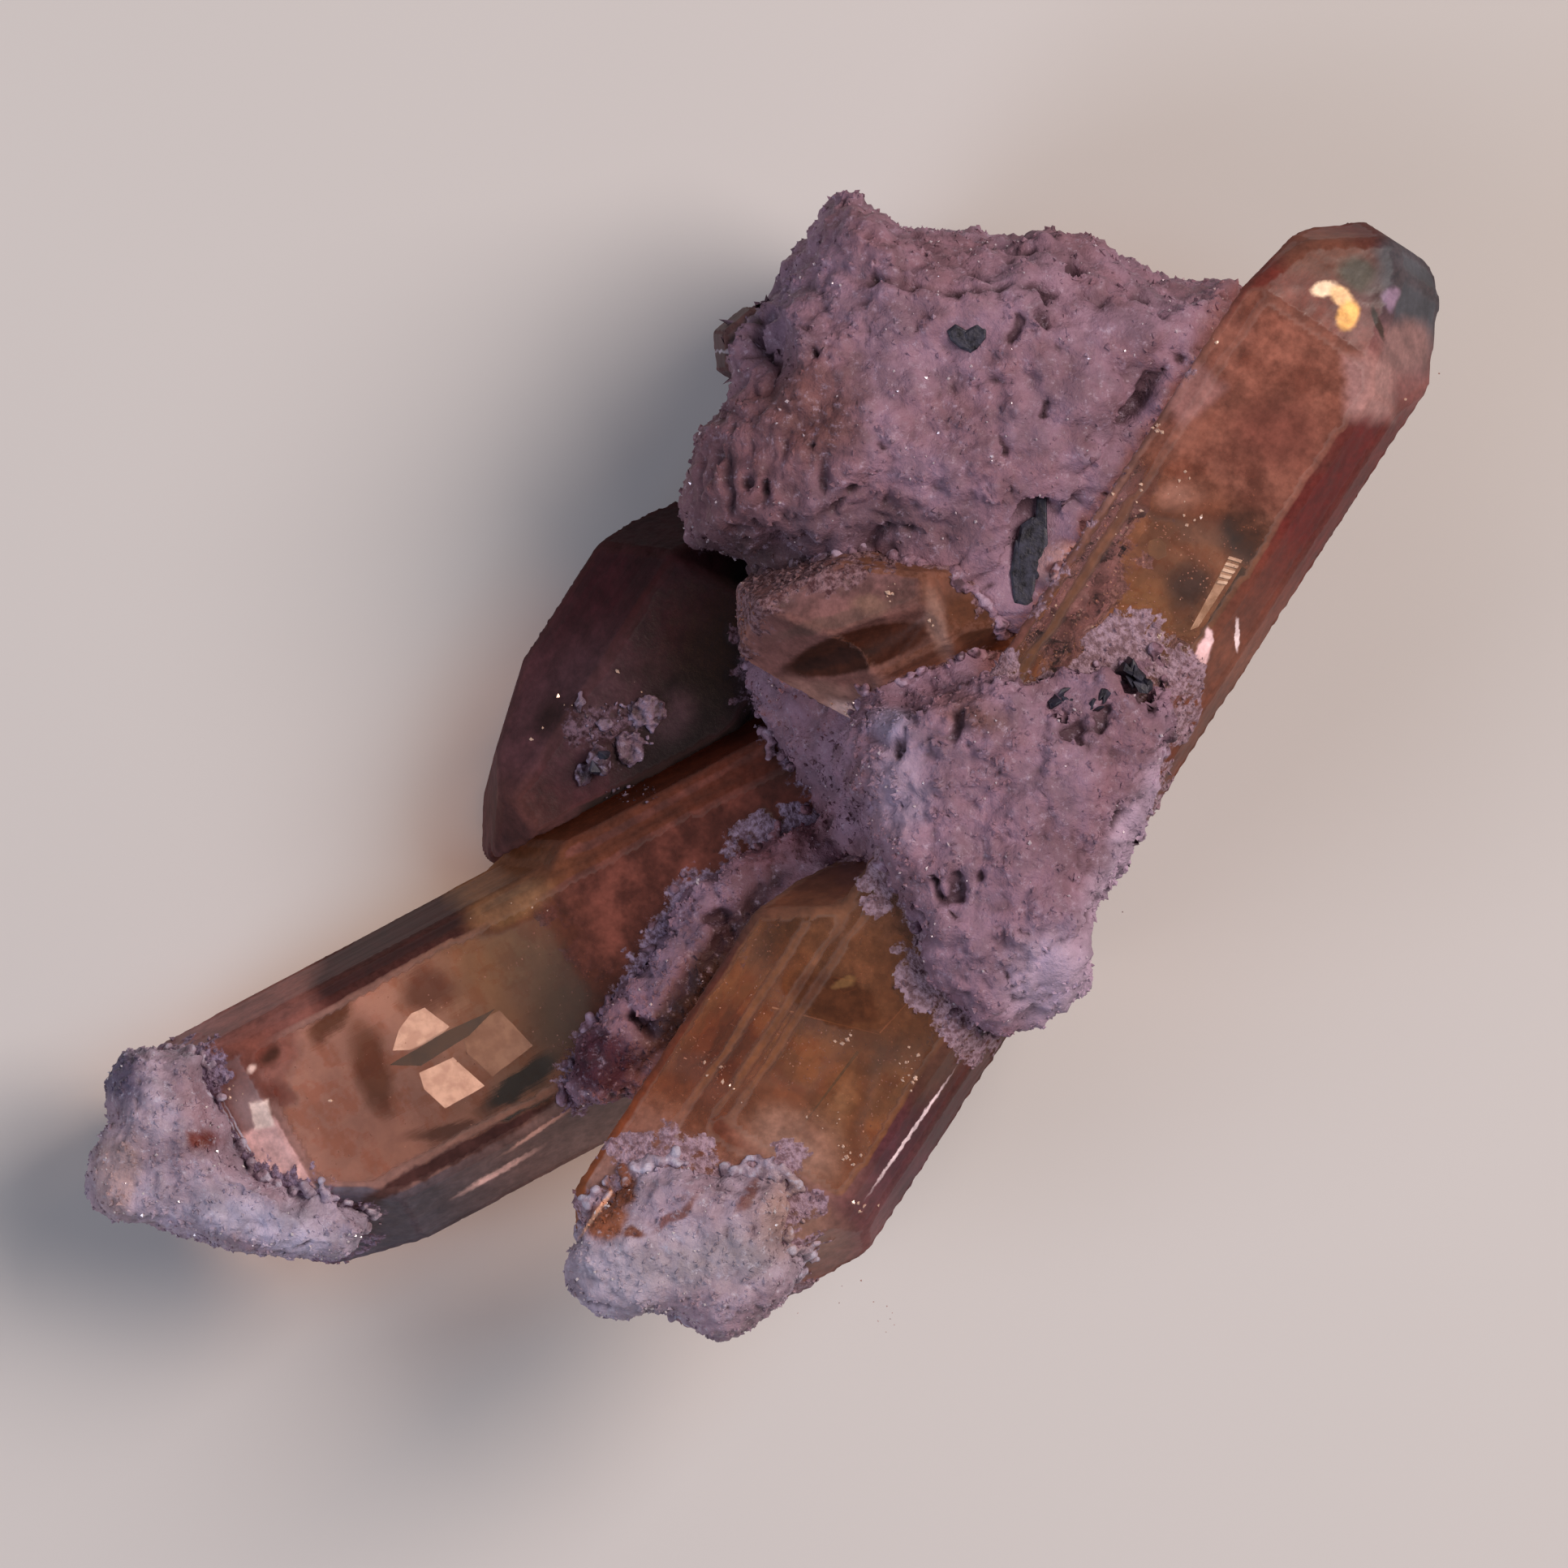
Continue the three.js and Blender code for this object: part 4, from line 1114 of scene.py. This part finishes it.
def make_left_crystal():
    skin = [
        (-12, (134, 104, 104), 0.7), (-9.2, (140, 104, 98), 0.4), (-7.4, (150, 110, 100), 0.012),
        (0.5, (130, 88, 70), 0.012), (3, (112, 64, 50), 0.1), (4.6, (100, 55, 45), 0.75),
        (14, (92, 48, 40), 0.85),
    ]
    left = [
        (-12, (124, 96, 98), 0.8), (-7, (130, 82, 74), 0.8), (-4.4, (124, 76, 66), 0.8),
        (-3.6, (64, 32, 18), 0.9), (0.4, (60, 30, 16), 0.9), (1.4, (116, 76, 50), 0.75),
        (5, (98, 56, 42), 0.8), (14, (76, 40, 34), 0.8),
    ]
    right = [
        (-12, (112, 98, 106), 0.85), (-7, (92, 84, 90), 0.85), (-4, (84, 74, 76), 0.85),
        (-1, (110, 84, 78), 0.8), (3, (116, 94, 88), 0.8), (7, (96, 60, 54), 0.85),
        (14, (70, 38, 34), 0.85),
    ]
    skin_patches = [
        patch((-2.7, -7.1), (0.9, 1.3), (112, 58, 46), 0.8, soft=0.6),
        patch((-1.5, -6.95), (0.6, 0.3), (92, 44, 34), 0.7, turn=40, soft=0.8),
        patch((-2.4, -6.4), (0.3, 0.45), (56, 32, 24), 0.8, turn=30, soft=0.7),
        patch((-0.8, -9.1), (2.4, 0.3), (150, 128, 134), 0.8, turn=6),
        patch((2.95, -2.8), (0.26, 3.9), (62, 36, 32), 0.88, soft=0.25),
        patch((3.2, 1.6), (0.3, 1.6), (120, 92, 84), 0.7, soft=0.4),
        # Painted highlight: the pink end facet and the white glint beside it, where the facet mirrors the
        # lower left lamp
        patch((0.55, -7.72), (1.25, 0.6), (206, 150, 138), 0.95, turn=2, soft=0.1, boxy=True, crisp=True),
        glint((-0.95, -7.5), (0.42, 0.3), (240, 192, 172), -16, 0.2, boxy=True),
        glint((-2.35, -7.1), (0.1, 0.16), (226, 178, 158), 20, 0.6),
        glint((4.05, -1.9), (0.09, 1.3), (216, 166, 152), 2, 0.5),
        glint((3.5, -0.2), (0.06, 1.1), (190, 140, 124), 6, 0.5),
        *[
            glint((-0.9 + 0.13 * i, -8.75 + 0.1 * i), (1.4, 0.03), (190, 172, 176), 4 - i, 0.6)
            for i in range(5)
        ],
        patch((-3.0, 2.4), (0.5, 1.2), (128, 86, 56), 0.6, soft=0.5),
    ]
    deep = [
        (-12, (150, 102, 88), 0.92), (-7.5, (160, 110, 94), 0.92), (-3, (158, 108, 90), 0.92),
        (0.5, (132, 88, 60), 0.92), (3, (112, 64, 42), 0.92), (6, (100, 52, 38), 0.94),
        (14, (78, 38, 30), 0.95),
    ]
    deep_patches = [
        patch((-2.6, -4.2), (0.45, 1.0), (92, 50, 32), 0.95, turn=25, soft=0.4),
        patch((-0.6, -3.8), (1.5, 0.55), (104, 58, 38), 0.95, turn=-12, soft=0.5),
        patch((2.3, -2.5), (0.25, 1.4), (90, 52, 38), 0.95, turn=-20, soft=0.5),
        patch((1.95, 0.1), (0.38, 1.5), (44, 38, 32), 0.95, turn=8, soft=0.35),
        patch((-1.9, -1.2), (0.7, 0.8), (98, 56, 40), 0.95, soft=0.5),
        patch((-1.5, 2.2), (1.4, 1.6), (122, 84, 54), 0.92, soft=0.6),
        patch((0.8, 2.4), (1.3, 1.2), (88, 58, 34), 0.95, soft=0.6),
    ]
    material = topaz(
        "champagne_topaz", LEFT, 6.3, (skin, skin_patches), (deep, deep_patches), (left, right),
        mottled=(0.85, 1.12), absorb=(0.93, 0.83, 0.74), density=90.0, sugar=SUGAR["left_crystal"],
        shine=0.15,
    )
    body = crystal_body(
        "topaz_left_crystal", "left_crystal", LEFT, FINE["left"], striped=0.003, stepped=0.004,
        chipped=0.06, seed=2.0,
    )
    return dressed(body, material, "pale_topaz", "topaz_left_crystal")


def make_back_crystal():
    stops = [(-6, (64, 34, 33), 0.9), (0, (56, 30, 32), 0.9), (6, (48, 26, 27), 0.9)]
    edge = [(-6, (88, 58, 58), 0.9), (-2, (78, 50, 50), 0.9), (3, (60, 36, 36), 0.9)]
    shaded = [(-6, (40, 20, 20), 0.9), (6, (22, 11, 12), 0.9)]
    patches = [
        patch((-1.2, 0.0), (1.5, 2.0), (64, 38, 41), 0.9, soft=0.8),
        # Painted shadow: this patch darkens the right part, beside the short crystal, as do the shaded
        # stops of its right bevel
        patch((1.3, 1.8), (1.4, 4.0), (24, 12, 13), 0.92, turn=10, soft=0.6),
        patch((-1.0, -4.4), (2.0, 1.2), (72, 38, 34), 0.9, soft=0.7),
        patch((-2.2, -1.0), (0.45, 0.7), (38, 18, 18), 0.9, soft=0.8),
        patch((-0.4, 1.9), (0.7, 0.3), (44, 24, 25), 0.9, turn=40, soft=0.8),
        patch((1.0, 1.0), (0.5, 0.7), (60, 38, 42), 0.9, soft=0.9),
    ]
    material = topaz(
        "smoky_topaz", BACK, 4.6, (stops, patches), (stops, patches), (edge, shaded),
        absorb=(0.85, 0.7, 0.6), density=200.0, frost=0.6, wear_and_sheen=0.05, sugar=SUGAR["back_crystal"],
        shine=0.12,
    )
    body = crystal_body("topaz_back_crystal", "back_crystal", BACK, FINE["back"], seed=3.0)
    return dressed(body, material, "topaz", "topaz_back_crystal")


def lens_hollow(own):
    """The short crystal's shell-like break and the low ridge at its right end."""
    u, v = own[:, 0], own[:, 1]
    round_off = np.clip(1 - ((u + 0.4) / 2.35) ** 2, 0, 1)
    lower, upper = -1.0 * round_off, 0.1 + 0.45 * round_off
    share = np.clip((v - lower) / np.maximum(upper - lower, 0.05), 0, 1)
    bowl = np.sin(np.pi * share**0.7) * round_off * 0.5
    ridge = step(np.abs(u - 2.15 + 0.15 * v), 0.34, 0.0) * step(v, 0.9, 0.4) * step(v, -1.7, -1.2)
    return bowl - ridge * 0.13


def make_short_crystal():
    skin = [
        (-4, (126, 82, 72), 0.85), (-1, (112, 70, 58), 0.82), (0.8, (106, 68, 62), 0.85),
        (4, (110, 76, 78), 0.9),
    ]
    left = [(-4, (132, 84, 70), 0.85), (4, (110, 74, 72), 0.88)]
    right = [(-4, (110, 64, 48), 0.8), (4, (116, 74, 58), 0.8)]
    tones = [
        patch((-0.4, -0.25), (2.25, 0.62), (62, 28, 17), 0.9, turn=-5, soft=0.12, crisp=True),
        patch((-1.3, -0.2), (1.5, 0.2), (46, 21, 14), 0.9, turn=-8, soft=0.4),
        patch((-0.6, 0.8), (2.0, 0.22), (96, 64, 56), 0.8, turn=-6, soft=0.4),
        patch((0.4, 0.95), (0.5, 0.3), (122, 84, 70), 0.85, turn=-30, soft=0.5),
        patch((2.15, -0.4), (0.3, 1.1), (134, 94, 80), 0.85, turn=-6, soft=0.5),
        patch((3.05, -0.6), (0.62, 0.85), (84, 44, 26), 0.85, turn=20, soft=0.3),
        patch((2.9, -1.6), (0.8, 0.35), (78, 38, 22), 0.85, turn=10, soft=0.4),
        patch((3.9, -0.7), (0.16, 1.3), (138, 92, 74), 0.85, turn=16),
        patch((-1.9, -1.25), (2.0, 0.45), (158, 108, 92), 0.9, turn=-30, soft=0.5),
        patch((-0.5, -1.7), (1.2, 0.4), (126, 84, 72), 0.88, turn=-10, soft=0.5),
        patch((-1.3, -2.0), (0.75, 0.3), (212, 164, 148), 0.9, turn=-38, soft=0.7),
    ]
    deep = [(-4, (84, 50, 42), 0.9), (4, (84, 48, 36), 0.9)]
    material = topaz(
        "broken_topaz", SHORT, 4.6, (skin, tones), (deep, []), (left, right),
        absorb=(0.88, 0.7, 0.55), density=180.0, frost=0.8, wear_and_sheen=0.25, sugar=SUGAR["short_crystal"],
        shine=0.12,
    )
    body = crystal_body(
        "topaz_short_crystal", "short_crystal", SHORT, FINE["short"], striped=0.003, stepped=0.006,
        seed=4.0, carved=lens_hollow,
    )
    return dressed(body, material, "topaz", "topaz_short_crystal")


def make_edge_crystal():
    skin = [(-2, (80, 58, 56), 0.88), (2, (88, 66, 64), 0.88)]
    streaks = [
        patch((0.55, 0.2), (0.12, 1.1), (176, 160, 162), 0.95, turn=80),
        patch((0.1, 0.0), (0.08, 0.9), (140, 120, 122), 0.9, turn=84),
        patch((-0.3, 0.1), (0.08, 1.0), (158, 140, 142), 0.9, turn=78),
    ]
    material = topaz(
        "grey_topaz", EDGE, 2.0, (skin, streaks), (skin, []), (skin, skin),
        density=200.0, frost=0.3, wear_and_sheen=0.2, shine=0.25,
    )
    body = crystal_body("topaz_edge_crystal", "edge_crystal", EDGE, FINE["edge"], seed=5.0)
    return dressed(body, material, "pale_topaz", "topaz_edge_crystal")


def sugar_on_long(spots):
    u, v, _ = LONG.own(spots).T
    end = step(v, -13.9, -15.0) * step(u, 1.2, -0.2) * step(u, -4.6, -3.7)
    rim = step(u, -2.3, -3.1) * step(v, 5.0, 6.2) * step(v, 12.0, 10.6)
    return np.maximum(end, rim * 0.8)


def sugar_on_left(spots):
    u, v, _ = LEFT.own(spots).T
    return np.maximum(step(v, -8.3, -9.4), step(u, 1.9, 3.0) * step(v, -5.6, -7.4))


def sugar_on_short(spots):
    u, v, _ = SHORT.own(spots).T
    frosted = step(v, 1.0, 1.9) * step(u, 2.6, 1.8)
    return np.maximum(frosted, step(u, -1.9, -2.7) * step(v, 0.2, 0.9) * 0.8)


def sugar_on_back(spots):
    u, v, _ = BACK.own(spots).T
    return step(np.hypot(u + 0.3, v + 0.6), 2.4, 0.8) * 0.8


# How far the sugar creeps from the rock, how many grains, a seed, and where else it lies
SPREADS = {
    "long_crystal": (0.6, 1500, 3, sugar_on_long),
    "left_crystal": (0.6, 1500, 7, sugar_on_left),
    "short_crystal": (0.4, 700, 11, sugar_on_short),
    "back_crystal": (0.4, 260, 15, sugar_on_back),
}


def nearness(points, stone, reach):
    """Distance from each point to a rock, below 0 inside it, and 9 beyond `reach`."""
    far = np.full(len(points), 9.0)
    for i, point in enumerate(points):
        near, outward, _, away = stone.find_nearest(Vector(point), reach)
        if near is not None:
            far[i] = away if (Vector(point) - near).dot(outward) > 0 else -away
    return far


def make_sugar(bodies, stones):
    """Crusts that thin out over the crystals, and the rounded grains along the stones' rims.
    `stones` holds each stone's object, material, slot and number of rim grains."""
    trees = {name: tree_around(stone[0]) for name, stone in stones.items()}
    rims = {name: [] for name in stones}
    for body in bodies:
        if body.name not in SPREADS:
            continue
        reach, grains, seed, elsewhere = SPREADS[body.name]
        points, normals = points_of(body.data), normals_of(body.data)
        patchy = waves(points, 1.3, 3, seed) * 0.7 + waves(points, 0.4, 2, seed + 1) * 0.3
        far = {name: nearness(points, tree, reach * 1.6) for name, tree in trees.items()}
        nearest = np.maximum(np.minimum.reduce(list(far.values())), 0)
        crept = np.maximum(0.5 - nearest / reach, elsewhere(points) * 2.2 - 1.7)
        spread = crept + patchy
        keep_values(body.data, "sugar", spread)
        lumps = 0.5 - cells(points, 0.3, seed)
        rise = step(spread, 0.0, 0.5) * (0.05 + 0.1 * lumps)
        move_points(body.data, points + normals * rise[:, None])
        tones = SUGAR[body.name]
        middling, dusky = blend(*tones, 0.5), blend(*tones, 0.25)
        sugar = rhyolite(body.name + "_sugar", middling, *tones, dusky, 0.6)
        crusty = step(spread, -0.1, 0.3)
        made = sprinkled(body.name + "_grains", body, grains, 0.1, seed + 70, lambda _: crusty, sunk=0.2)
        dressed(made, sugar, "pale_crust")
        for name, away in far.items():
            shown = (away > 0) & (away < reach) & (normals[:, 2] > -0.2)
            rims[name] += [
                (points[i], normals[i], 1 - away[i] / reach, patchy[i]) for i in np.flatnonzero(shown)
            ]
    for seed, (name, (_, material, slot, count)) in enumerate(stones.items()):
        rng = np.random.default_rng(500 + seed)
        close = np.array([spot[2] for spot in rims[name]])
        odds = close**1.5 * (step([spot[3] for spot in rims[name]], -0.5, 0.3) + 0.1)
        chosen = rng.choice(len(close), min(count, len(close)), replace=False, p=odds / odds.sum())
        spots = []
        for i in chosen:
            place, out, near, _ = rims[name][i]
            spots.append((place, out, 0.07 + 0.19 * near * rng.uniform(0.4, 1.0)))
        dressed(granular(name + "_rim", spots, 0.07, 90 + seed), material, slot)


# Clusters of bright chips on each crystal: middle, how many, and spread
SPARKLES = {
    "long_sparkles": (LONG, "topaz", [
        ((-2.85, 11.35), 7, 0.1), ((-2.79, 14.55), 6, 0.08), ((-3.2, 10.1), 6, 0.1), ((3.0, 16.2), 4, 0.08),
        ((-1.35, 10.24), 14, 0.22), ((-0.6, 9.6), 8, 0.25), ((-2.2, 8.8), 16, 0.35), ((-1.9, 5.3), 8, 0.3),
        ((-0.6, -9.5), 10, 0.12), ((-0.9, -9.75), 8, 0.2), ((1.75, -9.6), 14, 0.14), ((1.3, -9.1), 14, 0.2),
        ((1.4, -12.5), 16, 0.22), ((0.1, -11.8), 12, 0.35), ((-3.0, -12.6), 12, 0.4),
        ((2.5, -13.6), 10, 0.2),
    ]),
    "left_sparkles": (LEFT, "pale_topaz", [
        ((-3.3, 1.2), 7, 0.15), ((-2.7, 2.8), 7, 0.25), ((0.6, 4.9), 5, 0.2), ((-0.3, -5.6), 6, 0.25),
        ((-1.9, -8.0), 12, 0.2), ((3.1, 4.5), 10, 0.3),
    ]),
    "back_sparkles": (BACK, "topaz", [
        ((-0.4, 1.4), 4, 0.4), ((-1.9, -0.2), 4, 0.4), ((-2.2, -2.2), 5, 0.5),
    ]),
    "short_sparkles": (SHORT, "topaz", [
        ((2.3, -0.4), 18, 0.2), ((-1.4, -1.9), 18, 0.3), ((-2.6, -1.0), 10, 0.3), ((1.0, 1.0), 10, 0.3),
    ]),
}


def make_inclusions():
    flash = inclusion("cleavage_flash", (208, 166, 146), (182, 140, 122), 0.3)
    panel = inclusion("cleavage_panel", (136, 98, 78), (122, 84, 66), 0.3)
    smoke_and_shadow = inclusion("smoky_and_shadow_sheet", (62, 38, 24), (46, 28, 18))
    brown = inclusion("brown_spot", (104, 62, 32), (84, 48, 24))

    def piece(name, axes, outlines, material, slot="topaz"):
        dressed(plates(name, axes, outlines), material, slot)

    piece("left_flashes", LEFT, [
        ([(-0.8, -3.0), (-1.3, -2.5), (-1.55, -1.95), (-1.5, -1.5), (-0.62, -1.1), (-0.5, -1.6),
          (-0.55, -2.5)], 0.9),
        ([(0.2, -2.6), (0.25, -1.45), (1.5, -1.0), (1.54, -2.4), (0.7, -2.7)], 0.9),
    ], flash, "pale_topaz")
    piece("left_panel", LEFT, [
        ([(-0.36, -0.8), (-0.35, 0.5), (1.1, 0.9), (1.35, -0.65), (0.35, -1.0)], 1.3),
    ], panel, "pale_topaz")
    piece("left_fin", LEFT, [
        ([(-0.45, -3.3), (-0.55, -1.3), (-0.45, 0.4), (-0.1, -0.7), (0.02, -2.45)], 0.7),
    ], smoke_and_shadow, "pale_topaz")
    rungs = []
    for i in range(5):
        left, top = 1.12 + 0.03 * i, 9.25 - 0.2 * i
        rungs.append(([(left, top), (1.52, top + 0.12), (1.52, top + 0.02), (left, top - 0.1)], 0.4))
    piece("needle", LONG, rungs, inclusion("needle_rungs", (206, 176, 156), (176, 142, 122)))
    piece("needle_shaft", LONG, [
        ([(1.14, 9.2), (1.5, 9.3), (1.5, 6.9), (1.34, 6.7)], 0.46),
    ], inclusion("needle_shaft", (166, 130, 108), (132, 96, 72)))
    piece("growth_lines", LONG, [
        (sliver((-3.1, -10.0), (0.1, -8.9), 0.05), 0.4),
        (sliver((0.1, -8.85), (0.5, -6.5), 0.05), 0.3),
        (sliver((-2.25, -8.3), (-1.2, -7.85), 0.08), 0.4),
        (sliver((-2.2, -8.25), (-1.5, -8.45), 0.06), 0.4),
        (sliver((-1.5, -8.45), (-1.1, -7.9), 0.06), 0.4),
    ], inclusion("growth_line", (150, 100, 72), (126, 82, 58)))
    piece("dark_slits_and_shadow", LONG, [
        # The first sliver is a painted shadow beside the needle, and the other two are dark marks in the
        # crystal
        (sliver((1.75, 9.2), (1.72, 6.6), 0.26), 0.7),
        (sliver((-0.15, -9.7), (-0.36, -12.7), 0.1), 0.15),
        ([(-1.3, -8.0), (-1.0, -7.75), (-0.8, -7.95), (-1.1, -8.2)], 0.35),
    ], smoke_and_shadow)
    piece("brown_dots", LONG, [
        ([(-1.2, 8.3), (-1.0, 8.55), (-0.7, 8.5), (-0.5, 8.2), (-0.65, 7.95), (-1.0, 7.95)], 0.5),
    ], brown)

    glass = grain_glass("sparkle", linear(244, 208, 188))
    for name, (axes, slot, clusters) in SPARKLES.items():
        dressed(sparkles(name, axes, clusters, len(clusters)), glass, slot)

    cream = inclusion("cream_dust", (176, 128, 112), (130, 84, 70))

    def in_long(points):
        clouds = step(waves(points, 1.3, 4, 8.0), 0.0, 0.5)
        return clouds * step(LONG.own(points)[:, 1], 18.0, 16.4) * 0.9 + 0.03

    def in_left(points):
        clouds = step(waves(points, 1.5, 4, 9.0), 0.0, 0.5)
        return clouds * (0.06 + 0.94 * step(LEFT.own(points)[:, 1], 0.5, 4.0)) * 0.9 + 0.01

    dressed(dust("long_dust", "topaz_long_crystal", 5200, 0.045, 81, in_long), cream, "topaz")
    dressed(dust("left_dust", "topaz_left_crystal", 2600, 0.045, 82, in_left), cream, "pale_topaz")


def cut_grain(outline, top, tall, seed):
    """An upright crystal of the given outline, with a faceted top that is a little uneven."""
    shape = bmesh.new()
    rim = [shape.verts.new((x, y, top - 0.03)) for x, y in outline]
    foot = [shape.verts.new((x, y, top - tall)) for x, y in outline]
    middle = sum((Vector(p) for p in outline), Vector((0, 0))) / len(outline)
    crown = []
    for x, y in outline:
        inner = middle + (Vector((x, y)) - middle) * 0.8
        lift = noise.noise(Vector((inner.x * 3, inner.y * 3, seed))) * 0.035
        crown.append(shape.verts.new((inner.x, inner.y, top + lift)))
    shape.faces.new(reversed(foot))
    for i in range(len(outline)):
        j = (i + 1) % len(outline)
        shape.faces.new((foot[i], foot[j], rim[j], rim[i]))
        shape.faces.new((rim[i], rim[j], crown[j], crown[i]))
    shape.faces.new(crown)
    bmesh.ops.recalc_face_normals(shape, faces=shape.faces)
    bmesh.ops.triangulate(shape, faces=shape.faces)
    return taken(shape)


def shard(rng, middle, size, turn):
    """A small angular crystal, as the hull of a few points on a box."""
    shape = bmesh.new()
    for _ in range(14):
        spot = rng.uniform(-1, 1, 3)
        spot[rng.integers(0, 3)] = rng.choice((-1, 1))
        where = Euler((0, 0, turn + rng.normal(0, 0.15))).to_matrix() @ Vector(spot * size)
        shape.verts.new(where + Vector(middle))
    bmesh.ops.convex_hull(shape, input=shape.verts)
    unused = [v for v in shape.verts if not v.link_faces]
    bmesh.ops.delete(shape, geom=unused, context="VERTS")
    return taken(shape)


# Outlines of the grains that lie flat in the rock, each convex
BLADE = [
    [(8.44, 8.24), (8.76, 8.24), (8.78, 7.2), (8.42, 7.2)],
    [(7.95, 7.35), (8.3, 7.6), (8.76, 7.6), (8.8, 6.8), (8.5, 5.7), (7.9, 5.6), (7.8, 6.6)],
    [(7.8, 6.9), (8.5, 6.6), (8.36, 5.0), (8.1, 4.76), (7.76, 4.9), (7.64, 5.9)],
]
HEART = [
    [(5.7, 13.3), (5.95, 13.5), (6.3, 13.3), (6.5, 12.95), (6.45, 12.62), (6.1, 12.75), (5.8, 13.0)],
    [(6.2, 13.25), (6.6, 13.5), (6.92, 13.4), (6.88, 13.05), (6.6, 12.72), (6.4, 12.6), (6.25, 12.9)],
]
FLAT_GRAINS = {"pseudobrookite_blade": (BLADE, 0.1), "dark_grain_1": (HEART, 0.05)}


# Heading, shards along, shards across, how far its top stands out of the rock, shard size
GRAIN_FORMS = {
    "dark_grain_2": (130, 3, 2, 0.22, (0.26, 0.2)),
    "dark_grain_3": (30, 2, 2, 0.2, (0.22, 0.18)),
    "dark_grain_4": (50, 2, 2, 0.2, (0.2, 0.16)),
    "dark_grain_5": (75, 2, 1, 0.14, (0.22, 0.18)),
}


def make_dark_grains():
    oxide = dark_oxide("pseudobrookite")
    for seed, node in enumerate(GRAIN_NODES):
        rng = np.random.default_rng(300 + seed)
        low, high = (np.array(corner) * TO_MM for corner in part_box(node))
        surface = level_of(node)
        if node in FLAT_GRAINS:
            outlines, proud = FLAT_GRAINS[node]
            pieces = [cut_grain(outline, surface + proud, 0.6, i) for i, outline in enumerate(outlines)]
        else:
            heading, along, across, proud, (long, wide) = GRAIN_FORMS[node]
            middle = (low + high) / 2
            turn = math.radians(heading - 90)
            reach = np.abs(high - low)[:2].max() / 2
            pieces = []
            for i in range(along):
                for j in range(across):
                    run = ((i + 0.5) / along * 2 - 1) * (reach - long * 0.6)
                    side = ((j + 0.5) / across * 2 - 1) * wide * 1.1 + rng.normal(0, 0.04)
                    x = middle[0] + run * -math.sin(turn) + side * math.cos(turn)
                    y = middle[1] + run * math.cos(turn) + side * math.sin(turn)
                    tall = 0.3 + rng.uniform(0, 0.08)
                    spot = (x, y, surface + proud * rng.uniform(0.5, 1.0) - tall)
                    size = np.array([wide * rng.uniform(0.8, 1.2), long * rng.uniform(0.9, 1.2), tall])
                    pieces.append(shard(rng, spot, size, turn))
        made = mesh_of(node + "_crystal", *joined(pieces))
        wear_and_sheen = made.modifiers.new("Worn", "BEVEL")
        wear_and_sheen.width = 0.02 * MM
        wear_and_sheen.segments = 2
        dressed(applied(made), oxide, "dark_oxide", node)


make_camera()
make_stage()
rock, stone = make_rock()
crusts, pale_crust = make_crusts()
make_back_patch()
crystals = [
    make_long_crystal(),
    make_left_crystal(),
    make_back_crystal(),
    make_short_crystal(),
    make_edge_crystal(),
]
make_sugar(crystals, {
    "rock": (rock, stone, "rhyolite", 800),
    "crust_left_tip": (crusts["crust_left_tip"], pale_crust, "pale_crust", 150),
    "crust_lower_tip": (crusts["crust_lower_tip"], pale_crust, "pale_crust", 260),
})
make_inclusions()
make_dark_grains()
